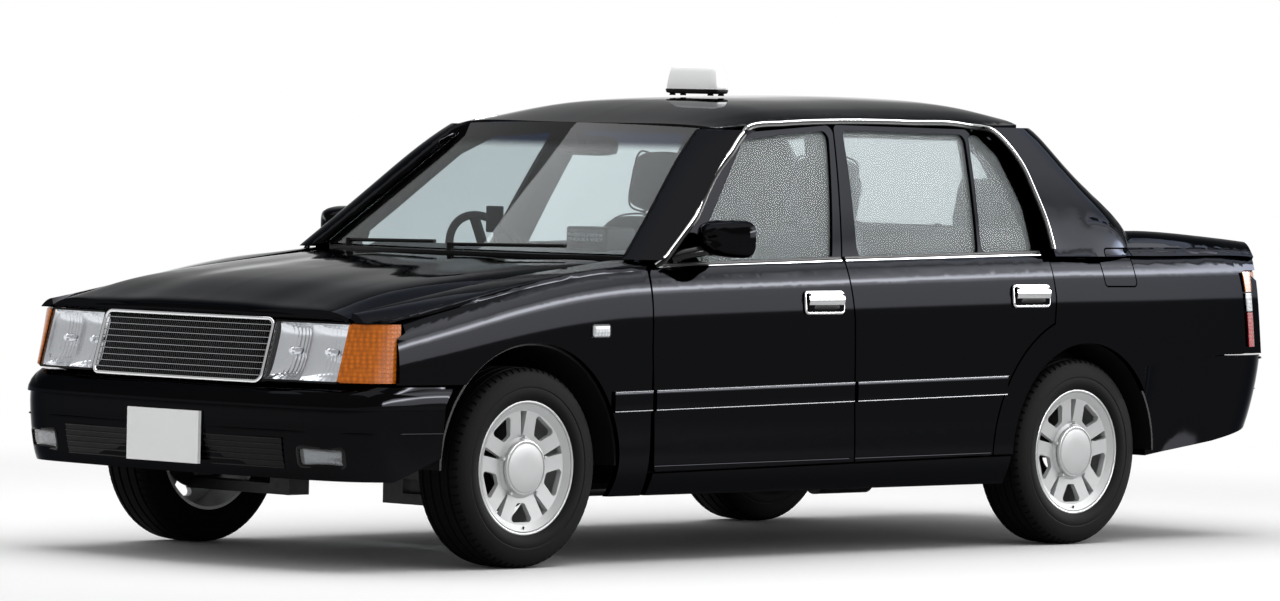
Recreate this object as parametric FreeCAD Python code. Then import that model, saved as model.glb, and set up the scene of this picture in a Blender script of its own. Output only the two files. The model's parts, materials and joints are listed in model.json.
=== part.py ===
import FreeCAD, Part
import math
import os

vec = FreeCAD.Vector

# Taxi cab, a four-door saloon with the steering on the right-hand side.
# Millimetres. X points to the car's left, Y to its tail, Z up. The ground is Z = 0,
# and Y = 0 is the middle of the length. A share is a part of the size that it follows:
# along Y the half length, along X the half width, and along Z the roof height.

# Whole car
bodyLength = 4590.0
bodyWidth = 1695.0
roofHeight = 1510.0
sillHeight = 217.0
wheelBase = 2680.0
frontOverhang = 804.0
frontTrack = 1454.0
rearTrack = 1430.0
halfLength = bodyLength / 2
halfWidth = bodyWidth / 2

# Gaps
panelGap = 7.0
fitGap = 0.3
runGap = 8.0
doorGap = 13.0
bufferRadius = 6.0
bufferSink = 18.0
overrun = 60.0

# Wheels
tyreRadius = 317.0
tyreWidth = 196.0
treadWidth = 164.0
shoulderDrop = 12.0
rimRadius = 210.0
rimLip = 9.0
rimWidth = 172.0
rimDish = 14.0
rimWall = 10.0
hubRadius = 58.0
capRadius = 87.0
spokeThick = 22.0
windowInner = 113.0
windowOuter = 190.0
bigWindowAngle = 34.0
slotAngle = 9.0
windowCorner = 12.0
spokeCount = 5
stubRadius = 22.0

# Steering
kingpinX = 690.0
knuckleWidth = 46.0
knuckleHeight = 210.0
knuckleLength = 84.0
steeringWheelX = 370.0
steeringWheelY = -478.0
steeringWheelZ = 915.0
steeringWheelRadius = 186.0
steeringRimRadius = 14.0
steeringHubRadius = 62.0
steeringHubDepth = 44.0
steeringTilt = 25.0
columnRadius = 26.0
spokeWidth = 34.0
spokeDepth = 16.0

# Panels
skinDepth = 22.0
doorDepth = 56.0
frameDepth = 38.0
pillarDepth = 44.0
glassDepth = 5.0
glassInset = 12.0
roofDepth = 28.0
hoodDepth = 24.0
lidDepth = 24.0
frontArchRadius = 395.0
rearArchRadius = 372.0
rearDoorArchRadius = 474.0
linerDepth = 8.0
outlineCorner = 26.0

# Body lines, as shares
shoulderShares = [
    (-0.9717, 0.482), (-0.900, 0.5046), (-0.7965, 0.5384), (-0.682, 0.5748), (-0.565, 0.6033),
    (-0.4466, 0.6185), (-0.008, 0.6344), (0.435, 0.6457), (0.654, 0.647), (0.896, 0.647),
    (0.980, 0.640),
]
widthShares = [
    (-0.972, 0.9145), (-0.937, 0.9345), (-0.8715, 0.9617), (-0.741, 0.9888), (-0.566, 0.998),
    (0.0, 1.0), (0.566, 0.998), (0.741, 0.9888), (0.8715, 0.970), (0.937, 0.953), (1.0, 0.926),
]
insetShares = [
    (0.0, 0.053), (0.104, 0.014), (0.246, 0.006), (0.408, 0.002), (0.583, 0.0), (0.758, 0.001),
    (0.852, 0.006), (0.919, 0.015), (0.973, 0.0295), (1.0, 0.039),
]
beltRiseShare = 0.006
cabinBaseShare = 0.949
cabinLeanShare = 0.33
cabinBarrelShare = 0.24
sillLineShares = [(-0.49, 0.1935), (0.32, 0.2105)]
hoodCentreShares = [
    (-0.9600, 0.5140), (-0.9565, 0.5290), (-0.9480, 0.5400), (-0.932, 0.5483), (-0.822, 0.5914), (-0.660, 0.6192), (-0.496, 0.6411),
    (-0.392, 0.6517),
]
hoodGapShares = [
    (-0.9600, 0.5110), (-0.9565, 0.5125), (-0.9480, 0.5150), (-0.908, 0.5242), (-0.6845, 0.5795), (-0.520, 0.6106), (-0.377, 0.6344),
]
hoodAcrossShares = [
    (0.0, 1.0), (0.3, 0.97), (0.5, 0.86), (0.7, 0.80), (0.87, 0.66), (0.95, 0.34), (1.0, 0.0),
]
hoodEdgeShare = 0.814
hoodRowShares = [-0.6, 0.0, 0.5, 1.1, 2.0, 4.5]
roofCrownShares = [
    (-0.218, 0.9285), (-0.103, 0.9682), (-0.028, 0.9848), (0.187, 0.998), (0.3355, 1.0),
    (0.436, 0.992), (0.501, 0.9656),
]
railShares = [
    (-0.218, 0.922), (-0.134, 0.930), (-0.0436, 0.941), (0.0614, 0.947), (0.369, 0.943),
    (0.436, 0.943), (0.501, 0.947),
]
railWidthShares = [
    (-0.218, 0.643), (-0.134, 0.708), (0.0614, 0.7174), (0.369, 0.715), (0.436, 0.6985),
    (0.501, 0.661),
]
roofAcrossShares = [(0.0, 1.0), (0.3, 0.965), (0.6, 0.82), (0.8, 0.56), (0.93, 0.24), (1.0, 0.0)]
deckShares = [(0.654, 0.7086), (0.710, 0.706), (0.962, 0.6828), (1.0, 0.676)]
deckEdgeShares = [(0.61, 0.6887), (0.710, 0.694), (0.931, 0.6728), (0.976, 0.665)]
deckAcrossShares = [(0.0, 1.0), (0.5, 0.90), (0.8, 0.62), (0.93, 0.30), (1.0, 0.0)]
deckGapShare = 0.832

# Side outlines, as shares of the half length and the roof height
frontDoorShares = [
    (-0.4074, 0.190), (-0.4183, 0.453), (-0.417, 0.6238), (-0.3943, 0.6298), (-0.2889, 0.7543),
    (-0.193, 0.8755), (-0.1307, 0.9192), (0.0505, 0.9384), (-0.0096, 0.6391), (0.0004, 0.5152),
    (0.0035, 0.3358), (0.0105, 0.190),
]
rearDoorShares = [
    (0.0105, 0.190), (0.0035, 0.3358), (0.0004, 0.5152), (-0.0096, 0.6391), (0.0505, 0.9384),
    (0.3669, 0.9338), (0.4074, 0.8841), (0.4336, 0.7616), (0.4379, 0.6609), (0.4444, 0.557),
    (0.4418, 0.5132), (0.420, 0.190),
]
frontWindowShares = [(-0.3246, 0.6371), (-0.1495, 0.9007), (0.037, 0.9245), (-0.0279, 0.647)]
rearWindowShares = [(0.0253, 0.649), (0.0671, 0.9245), (0.3312, 0.9205), (0.2893, 0.6563)]
doorStopShares = [(-0.0085, 0.5), (0.429, 0.6)]
quarterWindowShares = [
    (0.2963, 0.6576), (0.3381, 0.9200), (0.3638, 0.9179), (0.3943, 0.8742), (0.4174, 0.7616),
    (0.4161, 0.6609),
]
cabinShares = [
    (-0.430, 0.145), (-0.430, 0.600), (-0.385, 0.652), (-0.172, 0.915), (-0.140, 0.960),
    (0.420, 0.960), (0.470, 0.870), (0.520, 0.640), (0.520, 0.145),
]
windowCornerRadius = 24.0

# Glass at the front and the back: the corner at the side, and how far the middle stands out
screenBaseShares = (0.832, -0.403, 0.652)
screenTopShares = (0.625, -0.187, 0.923)
screenBaseBow = 120.0
cowlWidth = 62.0
cowlDepth = 34.0
screenTopBow = 62.0
screenDepth = 6.0
backBaseShares = (0.755, 0.664, 0.702)
backTopShares = (0.655, 0.484, 0.935)
backBaseBow = 90.0
backTopBow = 40.0

# Front pillar: levels from the foot to the roof, and where its side meets its face
pillarLevelShares = [0.643, 0.70, 0.77, 0.84, 0.89, 0.921]
pillarFaceShare = 0.6

# Rear pillar: level, then the share of the half length at its front edge
pillarShares = [(0.652, 0.438), (0.704, 0.434), (0.803, 0.424), (0.880, 0.404), (0.938, 0.360)]
pillarBendShare = 0.72
pillarTurnShare = 0.90

# Nose: shares of the half width, then of the half length at the top and at the bottom
noseShares = [
    (0.0, -0.9590, -0.983), (0.225, -0.9575, -0.9815), (0.450, -0.9530, -0.9765),
    (0.640, -0.9445, -0.9680), (0.813, -0.9365, -0.9590), (0.872, -0.926, -0.9430),
    (0.914, -0.912, -0.9220), (0.932, -0.900, -0.9000),
]
noseTop = 770.0
noseBottom = 588.0
grilleHalfWidth = 382.0
lampSplitShare = 0.816
noseGap = 4.0
grilleFrame = 12.0
grilleBarCount = 9
grilleBarHeight = 5.0
grilleBarDepth = 14.0
grilleRibCount = 12
grilleRibWidth = 3.0
grilleSet = 6.0
lampBackShare = -0.9085
cornerBackShare = -0.8845
frontPanelDepth = 12.0
bracketX = 410.0
bracketWidth = 60.0
bracketHeight = 70.0
bracketZ = 430.0
fogInner = 566.0
fogOuter = 716.0
fogBottom = 330.0
fogTop = 382.0

# Bumpers
bumperDepth = 56.0
frontBumperTop = 576.0
frontBumperBottom = 283.0
frontBumperShares = [
    (0.0, -0.9965), (0.35, -0.9900), (0.66, -0.9800), (0.86, -0.9600), (0.925, -0.9350),
    (0.965, -0.880), (0.991, -0.815),
]
frontBumperTuckShares = [(0.0, 0.985), (0.25, 0.995), (0.6, 1.0), (0.82, 0.9975), (1.0, 0.978)]
frontBumperSideShares = [
    (-1.05, 0.184), (-0.915, 0.1775), (-0.822, 0.235), (-0.8155, 0.3815), (-1.05, 0.3815),
]
rearBumperTop = 640.0
rearBumperShares = [
    (0.0, 1.0), (0.40, 0.9965), (0.72, 0.987), (0.88, 0.972), (0.945, 0.945), (0.978, 0.86),
    (0.994, 0.655),
]
rearBumperTuckShares = [(0.0, 0.93), (0.3, 0.965), (0.7, 0.99), (1.0, 1.0)]
rearBumperSideShares = [
    (0.657, 0.190), (0.820, 0.2272), (0.899, 0.250), (1.05, 0.300), (1.05, 0.4245),
    (0.860, 0.4245), (0.655, 0.400),
]
rearBumperBottom = 343.0
plateWidth = 330.0
plateHeight = 165.0
plateCentre = 397.0
plateDepth = 3.0
rearPlateCentre = 800.0

# Tail: shares of the half width and the half length at the level of the lid's rear edge
tailShares = [
    (0.0, 0.9735), (0.35, 0.972), (0.66, 0.966), (0.83, 0.952), (0.905, 0.935), (0.935, 0.915),
]
tailLeanShare = 0.13
tailTop = 1006.0
tailLampTop = 931.0
tailLampBottom = 665.0
tailLampInner = 572.0
tailLampDepth = 60.0
lidSideX = 560.0
lidBottom = 700.0
stopX = 300.0

# Fuel flap on the car's left
flapShares = [(0.5495, 0.672), (0.6275, 0.672), (0.635, 0.5815), (0.5585, 0.582)]
flapStopShares = (0.6265, 0.615)
flapGap = 5.5
flapDepth = 12.0
flapPocket = 34.0
flapCorner = 18.0

# Door mirrors
mirrorShares = (1.056, -0.3037, 0.689)
mirrorWidth = 192.0
mirrorDepth = 122.0
mirrorHeight = 124.0
mirrorFootShares = (0.958, -0.371, 0.640)
mirrorArmRadius = 20.0

# Roof sign
signY = 115.0
signWidth = 236.0
signDepth = 82.0
signHeight = 100.0
signTopShare = 0.84
signFoot = 12.0

# Cabin
floorHeight = 246.0
floorDepth = 10.0
cabinFrontShare = -0.400
cabinBackShare = 0.560
fireWallDepth = 12.0
tunnelWidth = 240.0
tunnelHeight = 150.0
bootFloorHeight = 446.0
sillWidth = 118.0
sillTop = 372.0
railWidth = 60.0
dashFrontShare = -0.400
dashProfileShares = [
    (-0.402, 0.610), (-0.300, 0.655), (-0.262, 0.650), (-0.236, 0.610), (-0.240, 0.520),
    (-0.285, 0.415), (-0.402, 0.400),
]
dashHalfShare = 0.82
meterWidth = 190.0
meterDepth = 150.0
meterHeight = 74.0
meterX = 265.0
meterY = -640.0
seatX = 372.0
seatWidth = 500.0
seatFront = -330.0
seatLength = 520.0
seatTop = 560.0
seatThick = 150.0
backRise = 600.0
backThick = 120.0
backLean = 14.0
headWidth = 270.0
headHeight = 200.0
headThick = 110.0
seatBaseInset = 60.0
rearSeatFront = 560.0
rearSeatLength = 490.0
rearSeatTop = 570.0
rearBackRise = 520.0
cushionCorner = 34.0
innerMirrorWidth = 250.0
innerMirrorHeight = 62.0
innerMirrorDepth = 26.0
innerMirrorY = -402.0
innerMirrorZ = 1322.0
wiperWidth = 12.0
wiperRise = 14.0

# Engine bay and underbody
bayHalf = 436.0
apronDepth = 6.0
apronBottom = 330.0
apronTopShare = 0.556
radiatorDepth = 44.0
radiatorHalf = 340.0
radiatorBottom = 330.0
engineWidth = 420.0
engineLength = 640.0
engineBottom = 330.0
engineHeight = 400.0
armThick = 34.0
armWidth = 90.0
crossWidth = 120.0
crossHeight = 70.0
strutRadius = 26.0
axleTubeRadius = 38.0
diffRadius = 108.0
shaftRadius = 32.0
springWidth = 60.0
springThick = 24.0
springHalf = 540.0
pipeRadius = 24.0
mufflerRadius = 85.0
mufflerLength = 420.0
tankWidth = 700.0
tankLength = 420.0
tankHeight = 180.0
tankGap = 90.0
handleWidth = 178.0
handleHeight = 64.0
handleDrop = 122.0
handleRise = 16.0
frontHandleShare = 0.86
rearHandleShare = 0.76

apronFrontShare = 0.50
apronRearShare = 0.60
wheelRoom = 20.0
railX0 = 400.0
engineSet = 120.0
columnLength = 330.0
steeringSpokeAngles = [0, 180, 270]
rearHeadHeight = 150.0
innerMirrorReach = 150.0
innerMirrorRise = 42.0
wiperShares = [(-0.62, -0.4325, -0.4605), (0.02, -0.4612, -0.436)]
wiperLength = 470.0
wiperLift = 8.0
mufflerShort = 260.0

# Places that follow from the sizes
frontAxleY = frontOverhang - halfLength
rearAxleY = frontAxleY + wheelBase
axleZ = tyreRadius
frontWheelX = frontTrack / 2
rearWheelX = rearTrack / 2
cabinFrontY = cabinFrontShare * halfLength
cabinBackY = cabinBackShare * halfLength


def along(table, place):
    # Smooth curve through a table's points
    places = [row[0] for row in table]
    values = [row[1] for row in table]
    if place <= places[0]:
        return values[0]
    if place >= places[-1]:
        return values[-1]
    last = len(table) - 1
    here = max(k for k in range(last) if places[k] <= place)

    def slope(k):
        low, high = max(k - 1, 0), min(k + 1, last)
        return (values[high] - values[low]) / (places[high] - places[low])

    span = places[here + 1] - places[here]
    t = (place - places[here]) / span
    rise = values[here + 1] - values[here]
    return (
        values[here]
        + rise * t * t * (3 - 2 * t)
        + slope(here) * span * t * (1 - t) ** 2
        - slope(here + 1) * span * t * t * (1 - t)
    )


def spaced(first, last, count):
    return [first + (last - first) * k / (count - 1) for k in range(count)]


def blend(a, b, t):
    return a + (b - a) * t


# Body surfaces
def shoulderZ(y):
    return along(shoulderShares, y / halfLength) * roofHeight


def beltZ(y):
    return shoulderZ(y) + beltRiseShare * roofHeight


def sillLineZ(y):
    return along(sillLineShares, y / halfLength) * roofHeight


def sideX(y, z):
    height = (z - sillHeight) / (shoulderZ(y) - sillHeight)
    return halfWidth * (along(widthShares, y / halfLength) - along(insetShares, height))


def cabinX(y, z):
    rise = z - shoulderZ(y)
    lean = cabinLeanShare + cabinBarrelShare * rise / roofHeight
    return halfWidth * cabinBaseShare - rise * lean


def hoodZ(x, y):
    edge = along(hoodGapShares, y / halfLength) * roofHeight
    centre = along(hoodCentreShares, y / halfLength) * roofHeight
    across = abs(x) / (hoodEdgeShare * halfWidth)
    return edge + (centre - edge) * along(hoodAcrossShares, across)


def railX(y):
    return along(railWidthShares, y / halfLength) * halfWidth


def roofZ(x, y):
    edge = along(railShares, y / halfLength) * roofHeight
    crown = along(roofCrownShares, y / halfLength) * roofHeight
    return edge + (crown - edge) * along(roofAcrossShares, abs(x) / railX(y))


def deckZ(x, y):
    edge = along(deckEdgeShares, y / halfLength) * roofHeight
    centre = along(deckShares, y / halfLength) * roofHeight
    return edge + (centre - edge) * along(deckAcrossShares, abs(x) / (deckGapShare * halfWidth))


def noseY(x, z):
    share = abs(x) / halfWidth
    top = along([(a, b) for a, b, c in noseShares], share) * halfLength
    bottom = along([(a, c) for a, b, c in noseShares], share) * halfLength
    return blend(bottom, top, (z - noseBottom) / (noseTop - noseBottom))


def tailY(x, z):
    return along(tailShares, abs(x) / halfWidth) * halfLength + (tailTop - z) * tailLeanShare


# Solids from rows of points
def curve(points):
    line = Part.BSplineCurve()
    line.interpolate(points)
    return line.toShape()


def joined(outer, inner):
    # Closed solid between two sheets of points, row by row
    sections = []
    for front, back in zip(outer, inner):
        edges = [
            curve(front),
            Part.makeLine(front[-1], back[-1]),
            curve(back[::-1]),
            Part.makeLine(back[0], front[0]),
        ]
        sections.append(Part.Wire(edges))
    return Part.makeLoft(sections, True, False)


def insideOf(row, across, depth):
    # The row set in by a depth, square to its run and to the direction across
    inner = []
    for k, point in enumerate(row):
        run = row[min(k + 1, len(row) - 1)] - row[max(k - 1, 0)]
        side = run.cross(across)
        side.normalize()
        inner.append(point + side * depth)
    return inner


def shell(rows, across, depth):
    return joined(rows, [insideOf(row, across, depth) for row in rows])


def sidePanel(yStart, yEnd, low, high, skin, depth, back=0.0, rows=6, points=7):
    outer, inner = [], []
    for y in spaced(yStart, yEnd, rows):
        levels = spaced(low(y), high(y), points)
        outer.append([vec(skin(y, z) - back, y, z) for z in levels])
        inner.append([vec(skin(y, z) - back - depth, y, z) for z in levels])
    return joined(outer, inner)


# Plain solids
def box(x, y, z):
    # From three pairs of limits
    size = [abs(limits[1] - limits[0]) for limits in (x, y, z)]
    return Part.makeBox(*size, vec(min(x), min(y), min(z)))


def rod(start, end, radius):
    return Part.makeCylinder(radius, (end - start).Length, start, end - start)


def softBox(x, y, z, corner):
    solid = box(x, y, z)
    return solid.makeFillet(corner, solid.Edges)


def moved(shape, x=0.0, y=0.0, z=0.0):
    return shape.translated(vec(x, y, z))


def mirrored(shape):
    return shape.mirror(vec(), vec(1, 0, 0))


def both(shape):
    return [shape, mirrored(shape)]


def fused(shapes):
    whole = shapes[0].multiFuse(shapes[1:]) if len(shapes) > 1 else shapes[0]
    return whole.removeSplitter()


def largest(shape):
    return max(shape.Solids, key=lambda solid: solid.Volume)


def outline(points, radius=0.0):
    # Closed polygon with its corners rounded, and a corner too short for it left sharp
    edges = []
    starts = []
    count = len(points)
    for k, corner in enumerate(points):
        before = points[k - 1] - corner
        after = points[(k + 1) % count] - corner
        turn = before.getAngle(after)
        reach = radius / math.tan(turn / 2) if radius else 0.0
        if radius == 0 or reach < fitGap or reach > min(before.Length, after.Length) / 2.05:
            starts.append((corner, None, corner))
            continue
        before.normalize()
        after.normalize()
        middle = before + after
        middle.normalize()
        centre = corner + middle * (radius / math.sin(turn / 2))
        starts.append((corner + before * reach, centre - middle * radius, corner + after * reach))
    for k, (start, middle, end) in enumerate(starts):
        if middle is not None:
            edges.append(Part.Arc(start, middle, end).toShape())
        edges.append(Part.makeLine(end, starts[(k + 1) % count][0]))
    return Part.Wire(edges)


def sideBlock(shares, xStart, xEnd, radius=0.0, inset=0.0):
    # Side outline in shares, drawn across the car, and set in or out by a named size
    points = [vec(xStart, a * halfLength, b * roofHeight) for a, b in shares]
    face = Part.Face(outline(points, radius))
    if inset:
        face = face.makeOffset2D(-inset)
    return face.extrude(vec(xEnd - xStart, 0, 0))


def planBlock(edges, zStart, zEnd):
    face = Part.Face(Part.Wire(edges))
    face.translate(vec(0, 0, zStart - face.BoundBox.ZMin))
    return face.extrude(vec(0, 0, zEnd - zStart))


def arcThrough(a, b, c):
    return Part.Arc(a, b, c).toShape()


# Wheels
def makeTyre(x, y, side):
    half, tread = tyreWidth / 2, treadWidth / 2
    seat = rimRadius
    widest = (tyreRadius + seat) / 2
    profile = [
        (-half + shoulderDrop, seat), (-half, widest), (-tread, tyreRadius - shoulderDrop),
        (-tread + shoulderDrop, tyreRadius), (tread - shoulderDrop, tyreRadius),
        (tread, tyreRadius - shoulderDrop), (half, widest), (half - shoulderDrop, seat),
    ]
    points = [vec(a, 0, b) for a, b in profile]
    ring = Part.Face(Part.makePolygon(points + points[:1])).revolve(vec(), vec(1, 0, 0), 360)
    ring.translate(vec(x, y, axleZ))
    return ring


def makeRim(x, y, side):
    # Barrel and dished face, with its windows cut through
    lip = rimRadius - fitGap
    out, inn = rimWidth / 2, -rimWidth / 2
    face = out - rimDish
    profile = [
        (inn, lip), (out - rimLip, lip), (out, lip - rimLip),
        (face, windowOuter - rimWall), (face - rimDish / 2, capRadius + rimWall),
        (face, capRadius), (face + rimDish / 2, hubRadius), (face + rimDish / 2, 0),
        (face - 2 * spokeThick, 0), (face - 2 * spokeThick, hubRadius),
        (face - spokeThick, capRadius), (face - spokeThick, lip - rimWall), (inn, lip - rimWall),
    ]
    points = [vec(a, 0, b) for a, b in profile]
    rim = Part.Face(Part.makePolygon(points + points[:1])).revolve(vec(), vec(1, 0, 0), 360)
    turn = 360 / spokeCount
    for k in range(spokeCount):
        for middle, width, inner in (
            (-90 + turn * k, bigWindowAngle, windowInner),
            (90 + turn * k, slotAngle, windowInner - rimWall),
        ):
            cutter = rimWindow(middle, width, inner)
            rim = rim.cut(cutter)
    bore = rod(vec(inn, 0, 0), vec(face - spokeThick, 0, 0), stubRadius + fitGap)
    rim = rim.cut(bore)
    if side < 0:
        rim = rim.mirror(vec(), vec(1, 0, 0))
    rim.translate(vec(x, y, axleZ))
    return rim


def rimWindow(middle, width, inner):
    outer = windowOuter - rimWall
    points = []
    for radius, angle in (
        (inner, middle - width / 4), (outer, middle - width / 2),
        (outer, middle + width / 2), (inner, middle + width / 4),
    ):
        turn = math.radians(angle)
        points.append(vec(rimWidth / 2 - 3 * rimDish - spokeThick, radius * math.cos(turn), radius * math.sin(turn)))
    corner = min(windowCorner, inner * math.radians(width) / 5)
    wire = outline(points, corner)
    return Part.Face(wire).extrude(vec(rimWidth, 0, 0))


def makeKnuckle(x):
    # Upright with its stub axle, on the car's left
    outer = frontWheelX + rimWidth / 2 - rimDish - 2 * spokeThick - fitGap
    upright = softBox(
        (x - knuckleWidth / 2, x + knuckleWidth / 2),
        (frontAxleY - knuckleLength / 2, frontAxleY + knuckleLength / 2),
        (axleZ - knuckleHeight / 2, axleZ + knuckleHeight / 2),
        knuckleWidth / 4,
    )
    stub = rod(vec(x, frontAxleY, axleZ), vec(outer, frontAxleY, axleZ), stubRadius)
    return fused([upright, stub])


# Doors
def doorSolid(shares, yStart, yEnd, windows):
    low = sidePanel(
        yStart, yEnd, lambda y: sillLineZ(y), lambda y: beltZ(y), sideX, doorDepth,
    )
    high = sidePanel(
        yStart, yEnd, lambda y: shoulderZ(y) - skinDepth, lambda y: roofHeight - roofDepth,
        cabinX, frameDepth, points=5,
    )
    door = low.fuse(high)
    door = door.common(sideBlock(shares, 0, bodyWidth, outlineCorner, panelGap / 2))
    for window in windows:
        door = door.cut(sideBlock(window, 0, bodyWidth, windowCornerRadius))
    return largest(door)


def doorGlass(shares, yStart, yEnd):
    pane = sidePanel(
        yStart, yEnd, lambda y: shoulderZ(y), lambda y: roofHeight - roofDepth, cabinX,
        glassDepth, glassInset, points=5,
    )
    return pane.common(sideBlock(shares, 0, bodyWidth, windowCornerRadius, fitGap))


def rearArchBlock(radius):
    return rod(vec(0, rearAxleY, axleZ), vec(bodyWidth, rearAxleY, axleZ), radius)


def makeFrontDoor():
    yStart = frontDoorShares[1][0] * halfLength - overrun
    yEnd = frontDoorShares[7][0] * halfLength + overrun
    door = doorSolid(frontDoorShares, yStart, yEnd, [frontWindowShares])
    glass = doorGlass(frontWindowShares, yStart, yEnd)
    handleY = frontDoorShares[9][0] * halfLength - handleWidth * frontHandleShare
    return fused([door, makeHandle(handleY)]), glass


def makeRearDoor():
    yStart = rearDoorShares[3][0] * halfLength - overrun
    yEnd = rearDoorShares[9][0] * halfLength + overrun
    door = doorSolid(rearDoorShares, yStart, yEnd, [rearWindowShares, quarterWindowShares])
    door = largest(door.cut(rearArchBlock(rearDoorArchRadius + panelGap / 2)))
    glass = [doorGlass(shares, yStart, yEnd) for shares in (rearWindowShares, quarterWindowShares)]
    handleY = rearDoorShares[9][0] * halfLength - handleWidth * rearHandleShare
    return fused([door, makeHandle(handleY)]), glass


def makeHandle(y):
    z = shoulderZ(y) - handleDrop
    x = sideX(y, z)
    return softBox(
        (x - skinDepth, x + handleRise), (y - handleWidth / 2, y + handleWidth / 2),
        (z - handleHeight / 2, z + handleHeight / 2), handleRise / 2,
    )


def makeMirror():
    x, y, z = (
        mirrorShares[0] * halfWidth, mirrorShares[1] * halfLength, mirrorShares[2] * roofHeight
    )
    head = softBox(
        (x - mirrorWidth / 2, x + mirrorWidth / 2), (y - mirrorDepth / 2, y + mirrorDepth / 2),
        (z - mirrorHeight / 2, z + mirrorHeight / 2), mirrorHeight / 4,
    )
    foot = vec(
        mirrorFootShares[0] * halfWidth, mirrorFootShares[1] * halfLength,
        mirrorFootShares[2] * roofHeight,
    )
    arm = rod(foot, vec(x - mirrorWidth / 4, y, z - mirrorHeight / 4), mirrorArmRadius)
    return fused([head, arm])


# Fixed body
def shoulderStrip(yStart, yEnd, edgeX, edgeZ, count):
    # From the shoulder in to the bonnet's or the lid's edge
    rows = []
    for y in spaced(yStart, yEnd, count):
        level = shoulderZ(y)
        start = vec(sideX(y, level) - skinDepth / 3, y, level - skinDepth / 4)
        end = vec(edgeX, y, edgeZ(y))
        rows.append([roundedTurn(start, end, t) for t in spaced(0, 1, 4)])
    return shell(rows, vec(0, -1, 0), skinDepth)


def makeFender():
    yStart, yEnd = noseShares[4][1] * halfLength, frontDoorShares[1][0] * halfLength
    edgeX = hoodEdgeShare * halfWidth
    side = sidePanel(
        yStart, yEnd, lambda y: sillHeight, lambda y: shoulderZ(y), sideX, skinDepth, rows=8,
    )
    top = shoulderStrip(yStart, yEnd, edgeX, lambda y: hoodZ(edgeX, y), 8)
    fender = side.fuse(top)
    fender = fender.cut(rod(vec(0, frontAxleY, axleZ), vec(bodyWidth, frontAxleY, axleZ), frontArchRadius))
    fender = fender.cut(box(
        (0, bodyWidth), (-halfLength, frontAxleY), (0, frontBumperTop + panelGap),
    ))
    lampEnd = noseShares[-1][0] * halfWidth
    for outerX, backY in (
        (bodyWidth, noseShares[-1][1] * halfLength), (lampEnd, cornerBackShare * halfLength),
    ):
        fender = fender.cut(box(
            (0, outerX + noseGap), (-halfLength, backY + frontPanelDepth + noseGap), (0, noseTop + noseGap),
        ))
    keep = sideBlock(frontDoorShares, 0, bodyWidth, outlineCorner, -panelGap / 2)
    return largest(fender.cut(keep))


def acrossPanel(level, half, places, depth):
    # Crowned panel from side to side, through a row of places along the car
    rows = []
    for y in places:
        rows.append([vec(x, y, level(x, y)) for x in spaced(-half(y), half(y), 15)])
    return joined(rows, [[p - vec(0, 0, depth) for p in row] for row in rows])


def bowedPlan(front, frontBow, rear, rearBow):
    # Upright block over the whole width. Each bow is how far the middle stands out,
    # with the half width where it ends.
    frontOut, frontHalf = frontBow
    rearOut, rearHalf = rearBow
    frontEnd = front + frontOut * (1 - (halfWidth / frontHalf) ** 2)
    rearEnd = rear + rearOut * (1 - (halfWidth / rearHalf) ** 2)
    corners = [
        vec(-halfWidth, frontEnd, 0), vec(halfWidth, frontEnd, 0),
        vec(halfWidth, rearEnd, 0), vec(-halfWidth, rearEnd, 0),
    ]
    return planBlock([
        arcThrough(corners[0], vec(0, front + frontOut, 0), corners[1]),
        Part.makeLine(corners[1], corners[2]),
        arcThrough(corners[2], vec(0, rear + rearOut, 0), corners[3]),
        Part.makeLine(corners[3], corners[0]),
    ], 0, bodyWidth)


def makeHood():
    edge = hoodEdgeShare * halfWidth - panelGap
    front = noseShares[0][1] * halfLength
    places = [front + skinDepth * share for share in hoodRowShares]
    places += spaced(front + 4 * overrun, cabinFrontY + overrun, 7)
    hood = acrossPanel(hoodZ, lambda y: edge, places, hoodDepth)
    front = noseY(edge, noseTop)
    hood = hood.common(bowedPlan(
        front, (noseY(0, noseTop) - front, edge),
        hoodRearY(), (-screenBaseBow - cowlWidth, screenBaseShares[0] * halfWidth),
    ))
    lampTops = box(
        (-bodyWidth, bodyWidth), (-halfLength, lampBackShare * halfLength + frontPanelDepth + panelGap),
        (0, noseTop + panelGap),
    )
    return largest(hood.cut(lampTops))


def makeRoof():
    places = spaced(railShares[0][0] * halfLength, railShares[-1][0] * halfLength, 9)
    roof = acrossPanel(roofZ, railX, places, roofDepth)
    roof = roof.common(bowedPlan(
        screenTopShares[1] * halfLength + panelGap, (-screenTopBow, screenTopShares[0] * halfWidth),
        backTopShares[1] * halfLength - panelGap, (backTopBow, backTopShares[0] * halfWidth),
    ))
    for shares in (frontDoorShares, rearDoorShares):
        space = sideBlock(shares, railX(0) - frameDepth - runGap, bodyWidth, 0.0, -panelGap)
        roof = roof.cut(space).cut(mirrored(space))
    return largest(roof)


def screenCorners(baseShares, topShares):
    base = vec(baseShares[0] * halfWidth, baseShares[1] * halfLength, baseShares[2] * roofHeight)
    top = vec(topShares[0] * halfWidth, topShares[1] * halfLength, topShares[2] * roofHeight)
    return base, top


def makeScreen(baseShares, topShares, baseBow, topBow):
    # Bowed glass between its side corners
    base, top = screenCorners(baseShares, topShares)
    inward = (top - base).cross(vec(1, 0, 0))
    inward.normalize()
    if inward.z > 0:
        inward = inward * -1
    outer, inner = [], []
    for s in spaced(-1, 1, 7):
        low = vec(base.x * s, base.y + baseBow * (1 - s * s), base.z)
        high = vec(top.x * s, top.y + topBow * (1 - s * s), top.z + abs(topBow) * (1 - s * s) / 6)
        row = [low, blend(low, high, 0.5), high]
        outer.append(row)
        inner.append([p + inward * screenDepth for p in row])
    return joined(outer, inner)


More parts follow.
